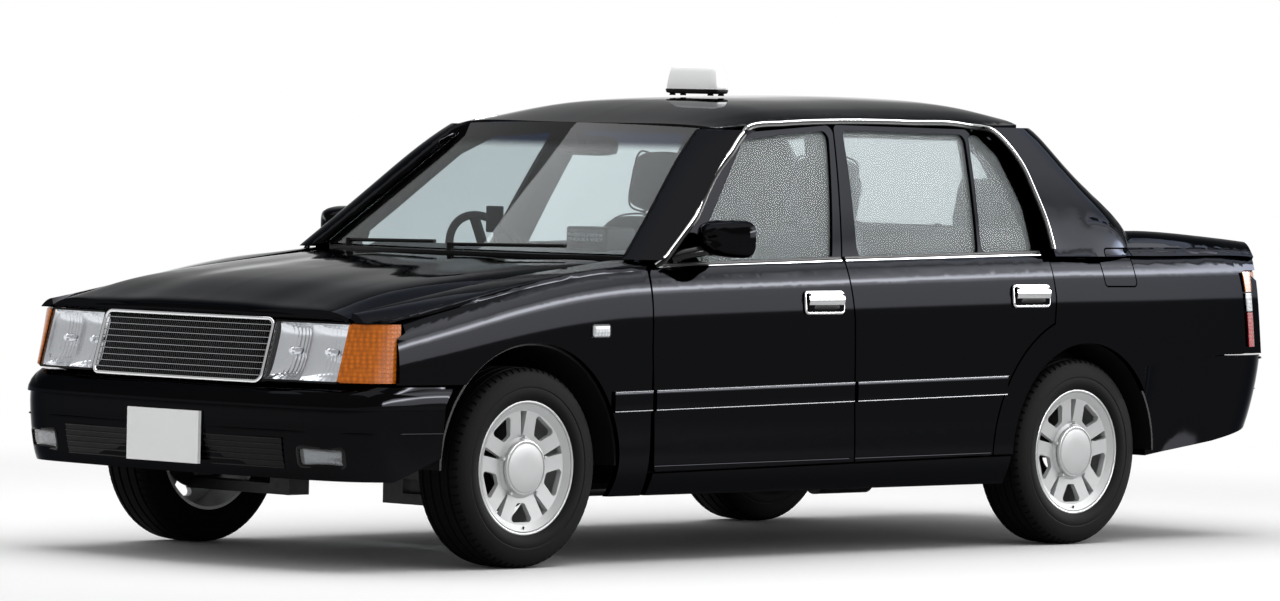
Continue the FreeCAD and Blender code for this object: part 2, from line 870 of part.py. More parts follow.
def makeRearQuarter(roof, glass):
    yEnd = tailShares[3][1] * halfLength
    low = sidePanel(
        rearAxleY - rearDoorArchRadius, yEnd, lambda y: sillLineZ(y), lambda y: shoulderZ(y),
        sideX, skinDepth, rows=8,
    )
    edgeX = deckGapShare * halfWidth
    stripStart = backBaseShares[1] * halfLength - 2 * overrun
    top = shoulderStrip(stripStart, yEnd, edgeX, lambda y: deckZ(edgeX, y), 5)
    quarter = low.fuse([top, makeRearPillar()])
    quarter = quarter.cut(rearArchBlock(rearArchRadius))
    behindDoor = box((0, bodyWidth), (rearAxleY - rearDoorArchRadius, halfLength), (0, roofHeight))
    behindDoor = behindDoor.cut(rearArchBlock(rearDoorArchRadius - panelGap / 2))
    doorSpace = sideBlock(rearDoorShares, 0, bodyWidth, outlineCorner, -panelGap / 2)
    quarter = quarter.cut(doorSpace.common(behindDoor))
    bumperSpace = rearBumperSideShares[4:] + [(rearBumperSideShares[-1][0], 0), (rearBumperSideShares[4][0], 0)]
    quarter = quarter.cut(sideBlock(bumperSpace, 0, bodyWidth, 0.0, -panelGap / 2))
    tail = [(rearBumperTop - overrun), roofHeight]
    rows = []
    for z in spaced(tail[0], tail[1], 4):
        rows.append([vec(x, tailY(x, z), z) for x in spaced(0, bodyWidth / 2, 9)])
    keep = joined(rows, [[vec(p.x, 0, p.z) for p in row] for row in rows])
    low = box((0, bodyWidth), (0, rearAxleY + rearArchRadius), (0, roofHeight))
    quarter = quarter.common(keep.fuse(low))
    lampEnd = tailShares[-1][0] * halfWidth
    lamp = box(
        (tailLampInner - noseGap, lampEnd + noseGap),
        (tailY(lampEnd, tailLampTop) - tailLampDepth - noseGap, bodyLength),
        (tailLampBottom - noseGap, tailLampTop + noseGap),
    )
    lidSpace = box(
        (0, edgeX), (backBaseShares[1] * halfLength - skinDepth, halfLength), (tailLampTop, roofHeight),
    )
    quarter = quarter.cut(lamp).cut(lidSpace).cut(roof)
    return largest(quarter.cut(glass).cut(moved(glass, x=fitGap)))


def roundedTurn(start, end, t):
    # From a shoulder, rising first and then levelling
    return vec(blend(start.x, end.x, t), start.y, blend(start.z, end.z, math.sin(t * math.pi / 2)))


def makeRearPillar():
    rows = []
    base, top = screenCorners(backBaseShares, backTopShares)
    for level, front in pillarShares:
        z = level * roofHeight
        start = vec(cabinX(front * halfLength, z), front * halfLength, z)
        glass = blend(base, top, min(max((z - base.z) / (top.z - base.z), 0), 1))
        end = vec(glass.x + fitGap, glass.y, z)
        bendY = blend(start.y, end.y, pillarBendShare)
        turnY = blend(start.y, end.y, pillarTurnShare)
        rows.append([
            start,
            vec(cabinX(blend(start.y, bendY, 0.5), z), blend(start.y, bendY, 0.5), z),
            vec(blend(start.x, end.x, 0.1), bendY, z),
            vec(blend(start.x, end.x, 0.5), turnY, z),
            end,
        ])
    return shell(rows, vec(0, 0, 1), pillarDepth)


def makeSideFrame(roof, quarter, doors):
    # Sill, door pillars and the rail above the doors, on the car's left
    yStart = cabinShares[0][0] * halfLength
    yEnd = cabinShares[-1][0] * halfLength
    high = sidePanel(
        yStart, yEnd, lambda y: beltZ(y) + runGap, lambda y: roofHeight - roofDepth,
        cabinX, pillarDepth, frameDepth + doorGap, points=5,
    )
    low = sidePanel(
        yStart, yEnd, lambda y: sillTop - skinDepth, lambda y: beltZ(y) + skinDepth, sideX,
        pillarDepth, doorDepth + doorGap,
    )
    ring = fused([high, low]).common(sideBlock(cabinShares, 0, bodyWidth))
    for shares in (frontDoorShares, rearDoorShares):
        opening = sideBlock(shares, 0, bodyWidth, outlineCorner, pillarDepth)
        opening = opening.cut(box((0, bodyWidth), (-halfLength, halfLength), (0, sillTop)))
        ring = ring.cut(opening.cut(rearArchBlock(rearDoorArchRadius + pillarDepth)))
    ring = ring.cut(rearArchBlock(rearArchRadius + linerDepth + fitGap))
    sillEnd = rearAxleY - rearArchRadius - linerDepth - fitGap
    skin = sidePanel(
        frontDoorShares[0][0] * halfLength, sillEnd, lambda y: sillHeight,
        lambda y: sillLineZ(y) - panelGap, sideX, sillWidth, points=4,
    )
    inner = box(
        (halfWidth - sillWidth - doorDepth, halfWidth - doorDepth - skinDepth - 2 * doorGap),
        (frontDoorShares[0][0] * halfLength, sillEnd), (sillHeight + skinDepth, sillTop),
    )
    frame = fused([ring, skin, inner])
    frame = largest(frame.cut(roof).cut(moved(roof, z=-2 * fitGap)).cut(quarter))
    stops = []
    for door, (yShare, zShare) in zip(doors, doorStopShares):
        y, z = yShare * halfLength, zShare * roofHeight
        inner = sideX(y, z) - doorDepth
        stops.append(stop(vec(inner - doorGap - bufferSink, y, z), vec(inner + bufferSink, y, z), door))
    return fused([frame] + stops)


def stop(start, end, panel):
    # Rubber stop from a fixed piece up to the panel that closes on it
    toward = end - start
    toward.normalize()
    whole = rod(start, end, bufferRadius)
    return whole.cut(panel.translated(toward * -fitGap)).Solids[0]


def makeFrontPillar(roof):
    # The post beside the windscreen, on the car's left
    base, top = screenCorners(screenBaseShares, screenTopShares)
    doorEdge = [(b, a) for a, b in frontDoorShares[2:7]]
    rows = []
    for share in pillarLevelShares:
        z = share * roofHeight
        t = (z - base.z) / (top.z - base.z)
        glass = blend(base, top, t) + vec(fitGap, 0, 0)
        edgeY = along(doorEdge, share) * halfLength
        side = vec(cabinX(edgeY, z), edgeY, z)
        corner = vec(blend(glass.x, side.x, pillarFaceShare), blend(glass.y, side.y, 1 - pillarFaceShare), z)
        corner = corner + vec(skinDepth / 2, -skinDepth / 2, 0)
        rows.append([glass, corner, side])
    post = shell(rows, vec(0, 0, 1), pillarDepth)
    post = post.cut(sideBlock(frontDoorShares, 0, bodyWidth, outlineCorner, -panelGap / 2))
    return largest(post.cut(roof))


# Nose and tail
def noseBand(xStart, xEnd, zStart, zEnd, backY, count=6):
    # Front face of the nose between two sides and two levels, with a flat back
    rows, inner = [], []
    for z in spaced(zStart, zEnd, 3):
        row = [vec(x, noseY(x, z), z) for x in spaced(xStart, xEnd, count)]
        rows.append(row)
        inner.append([vec(p.x, backY, p.z) for p in row])
    return joined(rows, inner)


def makeGrille():
    # Bright surround with level bars and the ribs that carry them
    low, high = noseBottom, noseTop
    side = grilleHalfWidth
    backY = lampBackShare * halfLength
    ring = noseBand(-side, side, low, high, backY, 7)
    ring = ring.cut(box(
        (-side + grilleFrame, side - grilleFrame), (-bodyLength, 0),
        (low + grilleFrame, high - grilleFrame),
    ))
    pieces = [ring]
    opening = high - low - 2 * grilleFrame
    for k in range(grilleBarCount):
        z = low + grilleFrame + opening * (k + 1) / (grilleBarCount + 1)
        front = [vec(x, noseY(x, z) + grilleSet, z) for x in spaced(-side + fitGap, side - fitGap, 5)]
        back = [p + vec(0, grilleBarDepth, 0) for p in front][::-1]
        face = Part.Face(Part.makePolygon(front + back + front[:1]))
        pieces.append(face.extrude(vec(0, 0, grilleBarHeight)))
    for x in spaced(-side, side, grilleRibCount + 2)[1:-1]:
        foot = vec(x - grilleRibWidth / 2, noseY(x, low) + grilleSet + grilleBarDepth / 2, low + fitGap)
        head = vec(x - grilleRibWidth / 2, noseY(x, high) + grilleSet + grilleBarDepth / 2, high - fitGap)
        deep = vec(0, grilleBarDepth, 0)
        face = Part.Face(Part.makePolygon([foot, head, head + deep, foot + deep, foot]))
        pieces.append(face.extrude(vec(grilleRibWidth, 0, 0)))
    return fused(pieces)


def makeTailLamp():
    rows = []
    for z in spaced(tailLampBottom, tailLampTop, 3):
        xs = spaced(tailLampInner, tailShares[-1][0] * halfWidth, 5)
        rows.append([vec(x, tailY(x, z), z) for x in xs])
    return joined(rows, [[p - vec(0, tailLampDepth, 0) for p in row] for row in rows])


def makeRearPanel(bootLid):
    rows = []
    edge = tailLampInner - fitGap
    for z in spaced(rearBumperTop + fitGap, lidBottom - panelGap, 3):
        rows.append([vec(x, tailY(x, z), z) for x in spaced(-edge, edge, 7)])
    panel = joined(rows, [[p - vec(0, skinDepth, 0) for p in row] for row in rows])
    stops = []
    for x in (-stopX, stopX):
        y = tailY(x, lidBottom) - skinDepth / 2
        stops.append(stop(vec(x, y, lidBottom - panelGap - bufferSink), vec(x, y, lidBottom + bufferRadius), bootLid))
    return fused([panel] + stops)


def makeBootLid():
    # Lid with its turned-down rear face between the lamps
    edge = deckGapShare * halfWidth - panelGap
    front = backBaseShares[1] * halfLength
    lid = acrossPanel(deckZ, lambda y: edge, spaced(front, halfLength, 9), roofHeight / 3)
    lid = lid.common(tailBlock(edge + overrun, lidBottom))
    bow = (backBaseBow, backBaseShares[0] * halfWidth)
    lid = lid.common(bowedPlan(front + panelGap, bow, halfLength, (backBaseBow, bodyWidth)))
    places = spaced(front - overrun, halfLength, 9)
    inner = acrossPanel(deckZ, lambda y: edge + overrun, places, roofHeight / 2)
    inner = inner.common(tailBlock(edge + overrun * 2, lidBottom - overrun))
    inner.translate(vec(0, -lidDepth, -lidDepth))
    lid = lid.cut(inner)
    for side in (-1, 1):
        lid = lid.cut(box(
            (side * lidSideX, side * bodyWidth), (0, bodyLength), (0, tailLampTop + panelGap),
        ))
    return largest(lid)


def tailBlock(half, bottom):
    # Block whose rear is the tail's face
    rows = []
    for z in spaced(bottom, roofHeight, 4):
        rows.append([vec(x, tailY(x, z), z) for x in spaced(-half, half, 9)])
    return joined(rows, [[p - vec(0, halfLength / 2, 0) for p in row] for row in rows])


def bumper(shares, tuckShares, low, high, sideShares):
    rows = []
    for z in spaced(low, high, 5):
        tuck = along(tuckShares, (z - low) / (high - low))
        half = [vec(a * halfWidth, b * halfLength * tuck, z) for a, b in shares]
        rows.append([vec(-p.x, p.y, p.z) for p in half[:0:-1]] + half)
    towards = vec(0, 0, -1) if shares[0][1] > 0 else vec(0, 0, 1)
    whole = shell(rows, towards * -1, bumperDepth)
    points = [vec(-bodyWidth, a * halfLength, b * roofHeight) for a, b in sideShares]
    keep = Part.Face(Part.makePolygon(points + points[:1])).extrude(vec(2 * bodyWidth, 0, 0))
    return largest(whole.common(keep))


def makeFrontPanel(frontBumper, hood):
    # Plate behind the lamps, with the arms that hold the bumper
    backY = lampBackShare * halfLength
    outerY = cornerBackShare * halfLength
    lampEdge = lampSplitShare * halfWidth
    top = noseTop - grilleFrame / 2
    plate = box((-lampEdge, lampEdge), (backY, backY + frontPanelDepth), (radiatorBottom, top))
    hole = box(
        (-radiatorHalf, radiatorHalf), (backY, backY + frontPanelDepth),
        (radiatorBottom + apronDepth, noseTop - grilleFrame),
    )
    pieces = [plate.cut(hole)]
    for side in (-1, 1):
        pieces.append(box(
            (side * (lampEdge - frontPanelDepth), side * lampEdge), (backY, outerY),
            (frontBumperTop, top),
        ))
        pieces.append(box(
            (side * (lampEdge - frontPanelDepth), side * (noseShares[-1][0] * halfWidth - skinDepth)),
            (outerY, outerY + frontPanelDepth), (frontBumperTop + panelGap, top),
        ))
        pieces.append(box(
            (side * (bracketX - bracketWidth / 2), side * (bracketX + bracketWidth / 2)),
            (-halfLength + bumperDepth / 2, backY), (bracketZ - bracketHeight / 2, bracketZ + bracketHeight / 2),
        ))
    for x in (-stopX, stopX):
        y = backY + frontPanelDepth / 2
        pieces.append(stop(vec(x, y, top - bufferSink), vec(x, y, hoodZ(x, y) - bufferRadius), hood))
    return largest(fused(pieces).cut(frontBumper).cut(moved(frontBumper, y=fitGap)))


def makeEngineBay(sideFrame):
    # Fire wall and the aprons beside the engine
    wallY = cabinFrontY
    wall = box(
        (-cabinHalf(), cabinHalf()), (wallY - fireWallDepth, wallY),
        (floorHeight, cowlZ() - cowlDepth),
    )
    wall = wall.cut(box(
        (-tunnelWidth / 2 + floorDepth, tunnelWidth / 2 - floorDepth), (wallY - fireWallDepth, wallY),
        (0, floorHeight + tunnelHeight - floorDepth),
    ))
    wall = wall.cut(sideFrame).cut(mirrored(sideFrame))
    pieces = [wall]
    backY = lampBackShare * halfLength + frontPanelDepth
    for side in (-1, 1):
        x = side * bayHalf
        points = [
            vec(x, backY, apronBottom), vec(x, backY, apronFrontShare * roofHeight),
            vec(x, wallY, apronRearShare * roofHeight), vec(x, wallY, apronBottom),
        ]
        face = Part.Face(Part.makePolygon(points + points[:1]))
        pieces.append(face.extrude(vec(-side * apronDepth, 0, 0)))
        pieces.append(box(
            (x, x - side * railWidth), (backY, wallY), (apronBottom, apronBottom + railWidth),
        ))
    return fused(pieces)


def cabinHalf():
    return halfWidth - doorDepth - doorGap - pillarDepth - skinDepth


def cowlZ():
    return screenBaseShares[2] * roofHeight


def hoodRearY():
    return screenBaseShares[1] * halfLength - panelGap


def makeCowl(screen):
    # Black panel under the wipers, from the bonnet's rear edge to the windscreen
    half = screenBaseShares[0] * halfWidth - 2 * panelGap
    front = hoodRearY() + panelGap
    rear = front + cowlDepth
    middle = front - screenBaseBow - cowlWidth
    cowl = planBlock([
        arcThrough(vec(-half, front, 0), vec(0, middle, 0), vec(half, front, 0)),
        Part.makeLine(vec(half, front, 0), vec(half, rear, 0)),
        arcThrough(vec(half, rear, 0), vec(0, rear - screenBaseBow, 0), vec(-half, rear, 0)),
        Part.makeLine(vec(-half, rear, 0), vec(-half, front, 0)),
    ], cowlZ() - cowlDepth, cowlZ() - screenDepth)
    return largest(cowl.cut(screen))


def makeFloor(rearBumper):
    # Floor with its tunnel, the step under the rear seat, the boot floor and the long rails
    front, back = cabinFrontY, rearSeatFront
    half = halfWidth - sillWidth - doorDepth
    tail = tailShares[0][1] * halfLength - bumperDepth - overrun
    bootHalf = rearWheelX - tyreWidth / 2 - wheelRoom
    top = floorHeight + floorDepth
    pieces = [
        box((-half, half), (front, back + floorDepth), (floorHeight, top)),
        box((-half, half), (back, back + floorDepth), (floorHeight, bootFloorHeight)),
        box((-bootHalf, bootHalf), (back, tail), (bootFloorHeight, bootFloorHeight + floorDepth)),
        box(
            (-half, half), (back, rearAxleY - rearArchRadius - linerDepth - fitGap),
            (bootFloorHeight, bootFloorHeight + floorDepth),
        ),
    ]
    tunnel = box(
        (-tunnelWidth / 2, tunnelWidth / 2), (front, back), (floorHeight, floorHeight + tunnelHeight),
    )
    hollow = box(
        (-tunnelWidth / 2 + floorDepth, tunnelWidth / 2 - floorDepth), (front, back + floorDepth),
        (0, floorHeight + tunnelHeight - floorDepth),
    )
    floor = fused(pieces + [tunnel]).cut(hollow)
    rails = []
    for side in (-1, 1):
        rails.append(box(
            (side * railX0, side * (railX0 + railWidth)), (front, back),
            (floorHeight - railWidth / 2, floorHeight),
        ))
        rails.append(box(
            (side * railX0, side * (railX0 + railWidth)), (back, halfLength - bumperDepth / 2),
            (bootFloorHeight - railWidth, bootFloorHeight),
        ))
    return largest(fused([floor] + rails).cut(rearBumper).cut(moved(rearBumper, y=-fitGap)))


def makeLiner(y, radius, panel):
    # Half round shell over a wheel on the car's left, open below
    inner = rearWheelX - tyreWidth / 2 - wheelRoom if y > 0 else bayHalf + fitGap
    outer = sideX(y, axleZ) - skinDepth / 2
    shellBlock = rod(vec(inner, y, axleZ), vec(outer, y, axleZ), radius + linerDepth)
    start = vec(inner + (linerDepth if y > 0 else 0), y, axleZ)
    hollow = rod(start, vec(outer, y, axleZ), radius)
    below = box((0, bodyWidth), (-bodyLength, bodyLength), (-bodyLength, axleZ))
    liner = shellBlock.cut(hollow).cut(below).cut(panel).cut(moved(panel, x=-fitGap))
    return largest(liner.cut(rod(vec(0, y, axleZ), vec(outer, y, axleZ), axleTubeRadius + runGap)))


def makeDash():
    half = dashHalfShare * halfWidth
    points = [vec(-half, a * halfLength, b * roofHeight) for a, b in dashProfileShares]
    dash = Part.Face(outline(points, cushionCorner)).extrude(vec(2 * half, 0, 0))
    return dash.cut(box((-half, half), (-halfLength, cabinFrontY), (0, roofHeight)))


def makeMeter(dash):
    # Fare meter on the top of the dash
    top = dash.BoundBox.ZMax
    case = box(
        (meterX - meterWidth / 2, meterX + meterWidth / 2),
        (meterY - meterDepth / 2, meterY + meterDepth / 2), (top - meterHeight / 2, top + meterHeight),
    )
    return largest(case.cut(dash))


def makeSeat(x):
    # Cushion, leaning back and head rest on one base, as one upholstered form
    yFront, yBack = seatFront, seatFront + seatLength
    cushion = softBox(
        (x - seatWidth / 2, x + seatWidth / 2), (yFront, yBack + backThick / 2),
        (seatTop - seatThick, seatTop), cushionCorner,
    )
    back = softBox(
        (x - seatWidth / 2, x + seatWidth / 2), (yBack - backThick / 2, yBack + backThick / 2),
        (seatTop - seatThick, seatTop + backRise), cushionCorner,
    )
    head = softBox(
        (x - headWidth / 2, x + headWidth / 2), (yBack - headThick / 2, yBack + headThick / 2),
        (seatTop + backRise - cushionCorner, seatTop + backRise + headHeight - cushionCorner), cushionCorner,
    )
    upper = back.fuse(head)
    upper.rotate(vec(x, yBack, seatTop), vec(1, 0, 0), -backLean)
    base = box(
        (x - seatWidth / 2 + seatBaseInset, x + seatWidth / 2 - seatBaseInset),
        (yFront + seatBaseInset, yBack - seatBaseInset), (floorHeight + floorDepth, seatTop - seatThick / 2),
    )
    return fused([cushion, upper, base])


def makeRearSeat():
    yFront, yBack = rearSeatFront, rearSeatFront + rearSeatLength
    half = rearWheelX - tyreWidth / 2 - wheelRoom - 2 * linerDepth
    low = bootFloorHeight + floorDepth
    cushion = softBox((-half, half), (yFront, yBack + backThick / 2), (low, rearSeatTop), cushionCorner)
    back = softBox(
        (-half, half), (yBack - backThick / 2, yBack + backThick / 2),
        (low, rearSeatTop + rearBackRise), cushionCorner,
    )
    pieces = [back]
    for side in (-1, 1):
        x = side * seatX
        pieces.append(softBox(
            (x - headWidth / 2, x + headWidth / 2), (yBack - headThick / 2, yBack + headThick / 2),
            (rearSeatTop + rearBackRise - cushionCorner, rearSeatTop + rearBackRise + rearHeadHeight), cushionCorner,
        ))
    upper = fused(pieces)
    upper.rotate(vec(0, yBack, rearSeatTop), vec(1, 0, 0), -backLean)
    return fused([cushion, upper]).cut(box((-half, half), (0, bodyLength), (0, low)))


def makeInnerMirror(screen):
    # Glass case hung from the top of the windscreen by a short stem
    case = softBox(
        (-innerMirrorWidth / 2, innerMirrorWidth / 2),
        (innerMirrorY - innerMirrorDepth / 2, innerMirrorY + innerMirrorDepth / 2),
        (innerMirrorZ - innerMirrorHeight / 2, innerMirrorZ + innerMirrorHeight / 2), innerMirrorDepth / 3,
    )
    stem = rod(
        vec(0, innerMirrorY, innerMirrorZ),
        vec(0, innerMirrorY - innerMirrorReach, innerMirrorZ + innerMirrorRise),
        innerMirrorDepth / 4,
    )
    return largest(fused([case, stem]).cut(screen).cut(moved(screen, z=-fitGap)))


def makeSteeringWheel():
    centre = vec(-steeringWheelX, steeringWheelY, steeringWheelZ)
    wheel = Part.makeTorus(steeringWheelRadius, steeringRimRadius)
    hub = Part.makeCylinder(steeringHubRadius, steeringHubDepth, vec(0, 0, -steeringHubDepth))
    pieces = [wheel, hub]
    for angle in steeringSpokeAngles:
        spoke = Part.makeBox(
            steeringWheelRadius, spokeWidth, spokeDepth, vec(0, -spokeWidth / 2, -spokeDepth),
        )
        spoke.rotate(vec(), vec(0, 0, 1), angle)
        pieces.append(spoke)
    wheel = fused(pieces)
    wheel.rotate(vec(), vec(1, 0, 0), steeringTilt - 90)
    wheel.translate(centre)
    return wheel


def steeringAxis():
    tilt = math.radians(steeringTilt)
    return vec(0, math.cos(tilt), math.sin(tilt))


def makeColumn(dash):
    # Column from the steering wheel's hub down into the dash
    centre = vec(-steeringWheelX, steeringWheelY, steeringWheelZ)
    start = centre - steeringAxis() * (steeringHubDepth + fitGap)
    column = rod(start, start - steeringAxis() * columnLength, columnRadius)
    return largest(column.cut(dash))


def makeSign():
    # Roof sign: a tapered white lamp box on a dark foot
    base = roofZ(0, signY)
    half, deep = signWidth / 2, signDepth / 2
    sections = []
    for t in (0.0, 0.75, 1.0):
        shrink = blend(1.0, signTopShare, t * t)
        z = base + signFoot + signHeight * t
        points = [
            vec(-half * shrink, signY - deep * shrink, z), vec(half * shrink, signY - deep * shrink, z),
            vec(half * shrink, signY + deep * shrink, z), vec(-half * shrink, signY + deep * shrink, z),
        ]
        sections.append(outline(points, signDepth / 4))
    return Part.makeLoft(sections, True, True)


def makeSignFoot(roof):
    half, deep = signWidth / 2 * signTopShare, signDepth / 2 * signTopShare
    base = roofZ(0, signY)
    foot = box((-half, half), (signY - deep, signY + deep), (base - roofDepth / 2, base + signFoot))
    return largest(foot.cut(moved(roof, z=fitGap)))


def makeWipers(cowl):
    # Two arms resting towards the car's left, each on its spindle
    pieces = []
    for x, y, endY in wiperShares:
        start = vec(x * halfWidth, y * halfLength, cowlZ() + wiperRise)
        end = vec(start.x + wiperLength, endY * halfLength, start.z + wiperLift)
        spindle = rod(vec(start.x, start.y, cowlZ() - screenDepth), start + vec(0, 0, wiperWidth / 2), wiperWidth)
        blade = rod(start, end, wiperWidth / 2)
        pieces.append(fused([spindle, blade]))
    return pieces


def makeFrontSuspension():
    # Cross member with the lower arms that carry the knuckles
    high = axleZ - knuckleHeight / 2 - fitGap
    low = high - armThick
    crossTop = apronBottom - fitGap
    halfArm = armWidth / 2
    pieces = [box(
        (-bayHalf, bayHalf), (frontAxleY - crossWidth / 2, frontAxleY + crossWidth / 2),
        (crossTop - crossHeight, crossTop),
    )]
    for side in (-1, 1):
        start = side * bayHalf / 2
        pieces.append(box((start, side * kingpinX), (frontAxleY - halfArm, frontAxleY + halfArm), (low, high)))
        pieces.append(box(
            (start, start + side * armWidth), (frontAxleY - halfArm, frontAxleY + halfArm), (low, crossTop),
        ))
        pieces.append(rod(vec(side * kingpinX, frontAxleY, low), vec(side * kingpinX, frontAxleY, high), halfArm))
    return fused(pieces)


def makeRearAxle():
    # Live axle on leaf springs
    reach = rearWheelX + rimWidth / 2 - rimDish - 2 * spokeThick - fitGap
    inner = rearWheelX - rimWidth / 2 - fitGap
    tube = rod(vec(-inner, rearAxleY, axleZ), vec(inner, rearAxleY, axleZ), axleTubeRadius)
    stub = rod(vec(-reach, rearAxleY, axleZ), vec(reach, rearAxleY, axleZ), stubRadius)
    case = Part.makeSphere(diffRadius, vec(0, rearAxleY, axleZ))
    pieces = [tube, stub, case]
    for side in (-1, 1):
        x = side * (railX0 + railWidth / 2)
        z = axleZ + axleTubeRadius - springThick / 2
        pieces.append(box(
            (x - springWidth / 2, x + springWidth / 2), (rearAxleY - springHalf, rearAxleY + springHalf),
            (z, z + springThick),
        ))
        for y in (rearAxleY - springHalf, rearAxleY + springHalf - springWidth):
            top = bootFloorHeight - railWidth - fitGap
            pieces.append(box((x - springWidth / 4, x + springWidth / 4), (y, y + springWidth), (z, top)))
    return fused(pieces)


def makeEngine():
    middle = frontAxleY + engineSet
    return box(
        (-engineWidth / 2, engineWidth / 2), (middle - engineLength / 2, middle + engineLength / 2),
        (apronBottom, apronBottom + engineHeight),
    )


def makeShaft():
    # Gearbox tail and propeller shaft, in the tunnel
    z = floorHeight + tunnelHeight / 2 - floorDepth
    front = frontAxleY + engineSet + engineLength / 2
    return rod(
        vec(0, front + runGap / 2, z + shaftRadius), vec(0, rearAxleY - diffRadius / 2, axleZ), shaftRadius,
    )


def makeExhaust():
    x = tunnelWidth / 2 + pipeRadius * 2
    z = floorHeight - mufflerRadius / 2 - runGap
    start = vec(x, cabinFrontY, z)
    bend = vec(x, rearSeatFront, z)
    pipe = rod(start, bend, pipeRadius)
    muffler = rod(bend, bend + vec(0, mufflerShort, 0), mufflerRadius / 2)
    hangers = []
    for y in (cabinFrontY + overrun, bend.y - overrun):
        hangers.append(box((x - pipeRadius / 2, x + pipeRadius / 2), (y, y + pipeRadius), (z, floorHeight)))
    return fused([pipe, muffler] + hangers)


def makeTailPipe():
    # Silencer behind the axle, with its short tail
    x = -railX0 - railWidth - mufflerRadius - runGap
    y = rearAxleY + rearArchRadius + overrun / 2
    z = bootFloorHeight - mufflerRadius - overrun
    muffler = rod(vec(x, y, z), vec(x, y + mufflerLength, z), mufflerRadius)
    tail = rod(vec(x, y + mufflerLength, z), vec(x, y + mufflerLength + 2 * overrun, z), pipeRadius)
    strap = box((x - pipeRadius, x + pipeRadius), (y + overrun, y + 2 * overrun), (z, bootFloorHeight))
    return fused([muffler, tail, strap])


def makeTank():
    front = rearAxleY + diffRadius + tankGap
    high = bootFloorHeight - fitGap
    return softBox(
        (-tankWidth / 2, tankWidth / 2), (front, front + tankLength), (high - tankHeight, high),
        cushionCorner / 2,
    )


def makeFrontPlate(frontBumper):
    y = -halfLength
    plate = box(
        (-plateWidth / 2, plateWidth / 2), (y, y + 4 * plateDepth),
        (plateCentre - plateHeight / 2, plateCentre + plateHeight / 2),
    )
    return largest(plate.cut(frontBumper).cut(moved(frontBumper, y=-fitGap)))


def makeRearPlate(bootLid):
    y = tailY(0, rearPlateCentre - plateHeight / 2)
    plate = box(
        (-plateWidth / 2, plateWidth / 2), (y - lidDepth / 2, y + plateDepth),
        (rearPlateCentre - plateHeight / 2, rearPlateCentre + plateHeight / 2),
    )
    return largest(plate.cut(bootLid).cut(moved(bootLid, y=fitGap)))


def fogSpace(side):
    return box(
        (side * fogInner, side * fogOuter), (-halfLength, lampBackShare * halfLength),
        (fogBottom, fogTop),
    )


def flapCut(quarter):
    # Flap on the left rear quarter, and the quarter with its opening and the flap's stop
    opening = sideBlock(flapShares, cabinHalf(), bodyWidth, flapCorner)
    lidSpace = sideBlock(flapShares, cabinHalf(), bodyWidth, flapCorner, flapGap)
    flap = quarter.common(lidSpace)
    flap = largest(flap.cut(moved(flap, x=-flapDepth)))
    y, z = flapStopShares[0] * halfLength, flapStopShares[1] * roofHeight
    face = sideX(y, z)
    rest = box(
        (face - flapPocket, face - flapDepth / 2), (y - flapPocket, y + flapPocket),
        (z - bufferRadius, z + bufferRadius),
    )
    rest = rest.cut(moved(flap, x=-fitGap)).cut(moved(flap, y=flapGap)).cut(flap)
    inner = max(rest.Solids, key=lambda solid: -solid.BoundBox.XMin)
    return flap, largest(quarter.cut(opening).fuse(inner))


# Build
roof = makeRoof()
backScreen = makeScreen(backBaseShares, backTopShares, backBaseBow, backTopBow)
quarter = makeRearQuarter(roof, backScreen)
flap, leftQuarter = flapCut(quarter)
frontDoor, frontGlass = makeFrontDoor()
rearDoor, rearGlass = makeRearDoor()
hood = makeHood()
mirror = makeMirror().cut(frontDoor)
screen = makeScreen(screenBaseShares, screenTopShares, -screenBaseBow, -screenTopBow)
sideFrame = makeSideFrame(roof, quarter, [frontDoor, rearDoor])
frontPillar = makeFrontPillar(roof)
lampStart, lampEnd = grilleHalfWidth + noseGap, lampSplitShare * halfWidth
headlamp = noseBand(lampStart, lampEnd, noseBottom, noseTop, lampBackShare * halfLength)
cornerLamp = noseBand(
    lampEnd + noseGap, noseShares[-1][0] * halfWidth, noseBottom, noseTop,
    cornerBackShare * halfLength,
)
frontBumper = bumper(
    frontBumperShares, frontBumperTuckShares, frontBumperBottom, frontBumperTop,
    frontBumperSideShares,
)
rearBumper = bumper(
    rearBumperShares, rearBumperTuckShares, rearBumperBottom - overrun, rearBumperTop,
    rearBumperSideShares,
)
archSpace = rearArchBlock(rearArchRadius + linerDepth + fitGap)
rearBumper = largest(rearBumper.cut(archSpace).cut(mirrored(archSpace)))
fogSpaces = [fogSpace(side) for side in (-1, 1)]
fogLamps = [largest(frontBumper.common(space)) for space in fogSpaces]
for space in fogSpaces:
    frontBumper = frontBumper.cut(space)
bootLid = makeBootLid()
dash = makeDash()
cowl = makeCowl(screen)
knuckle = makeKnuckle(kingpinX)
fender = makeFender()
frontLiner = makeLiner(frontAxleY, frontArchRadius - linerDepth, fender)
rearLiner = makeLiner(rearAxleY, rearArchRadius, quarter)
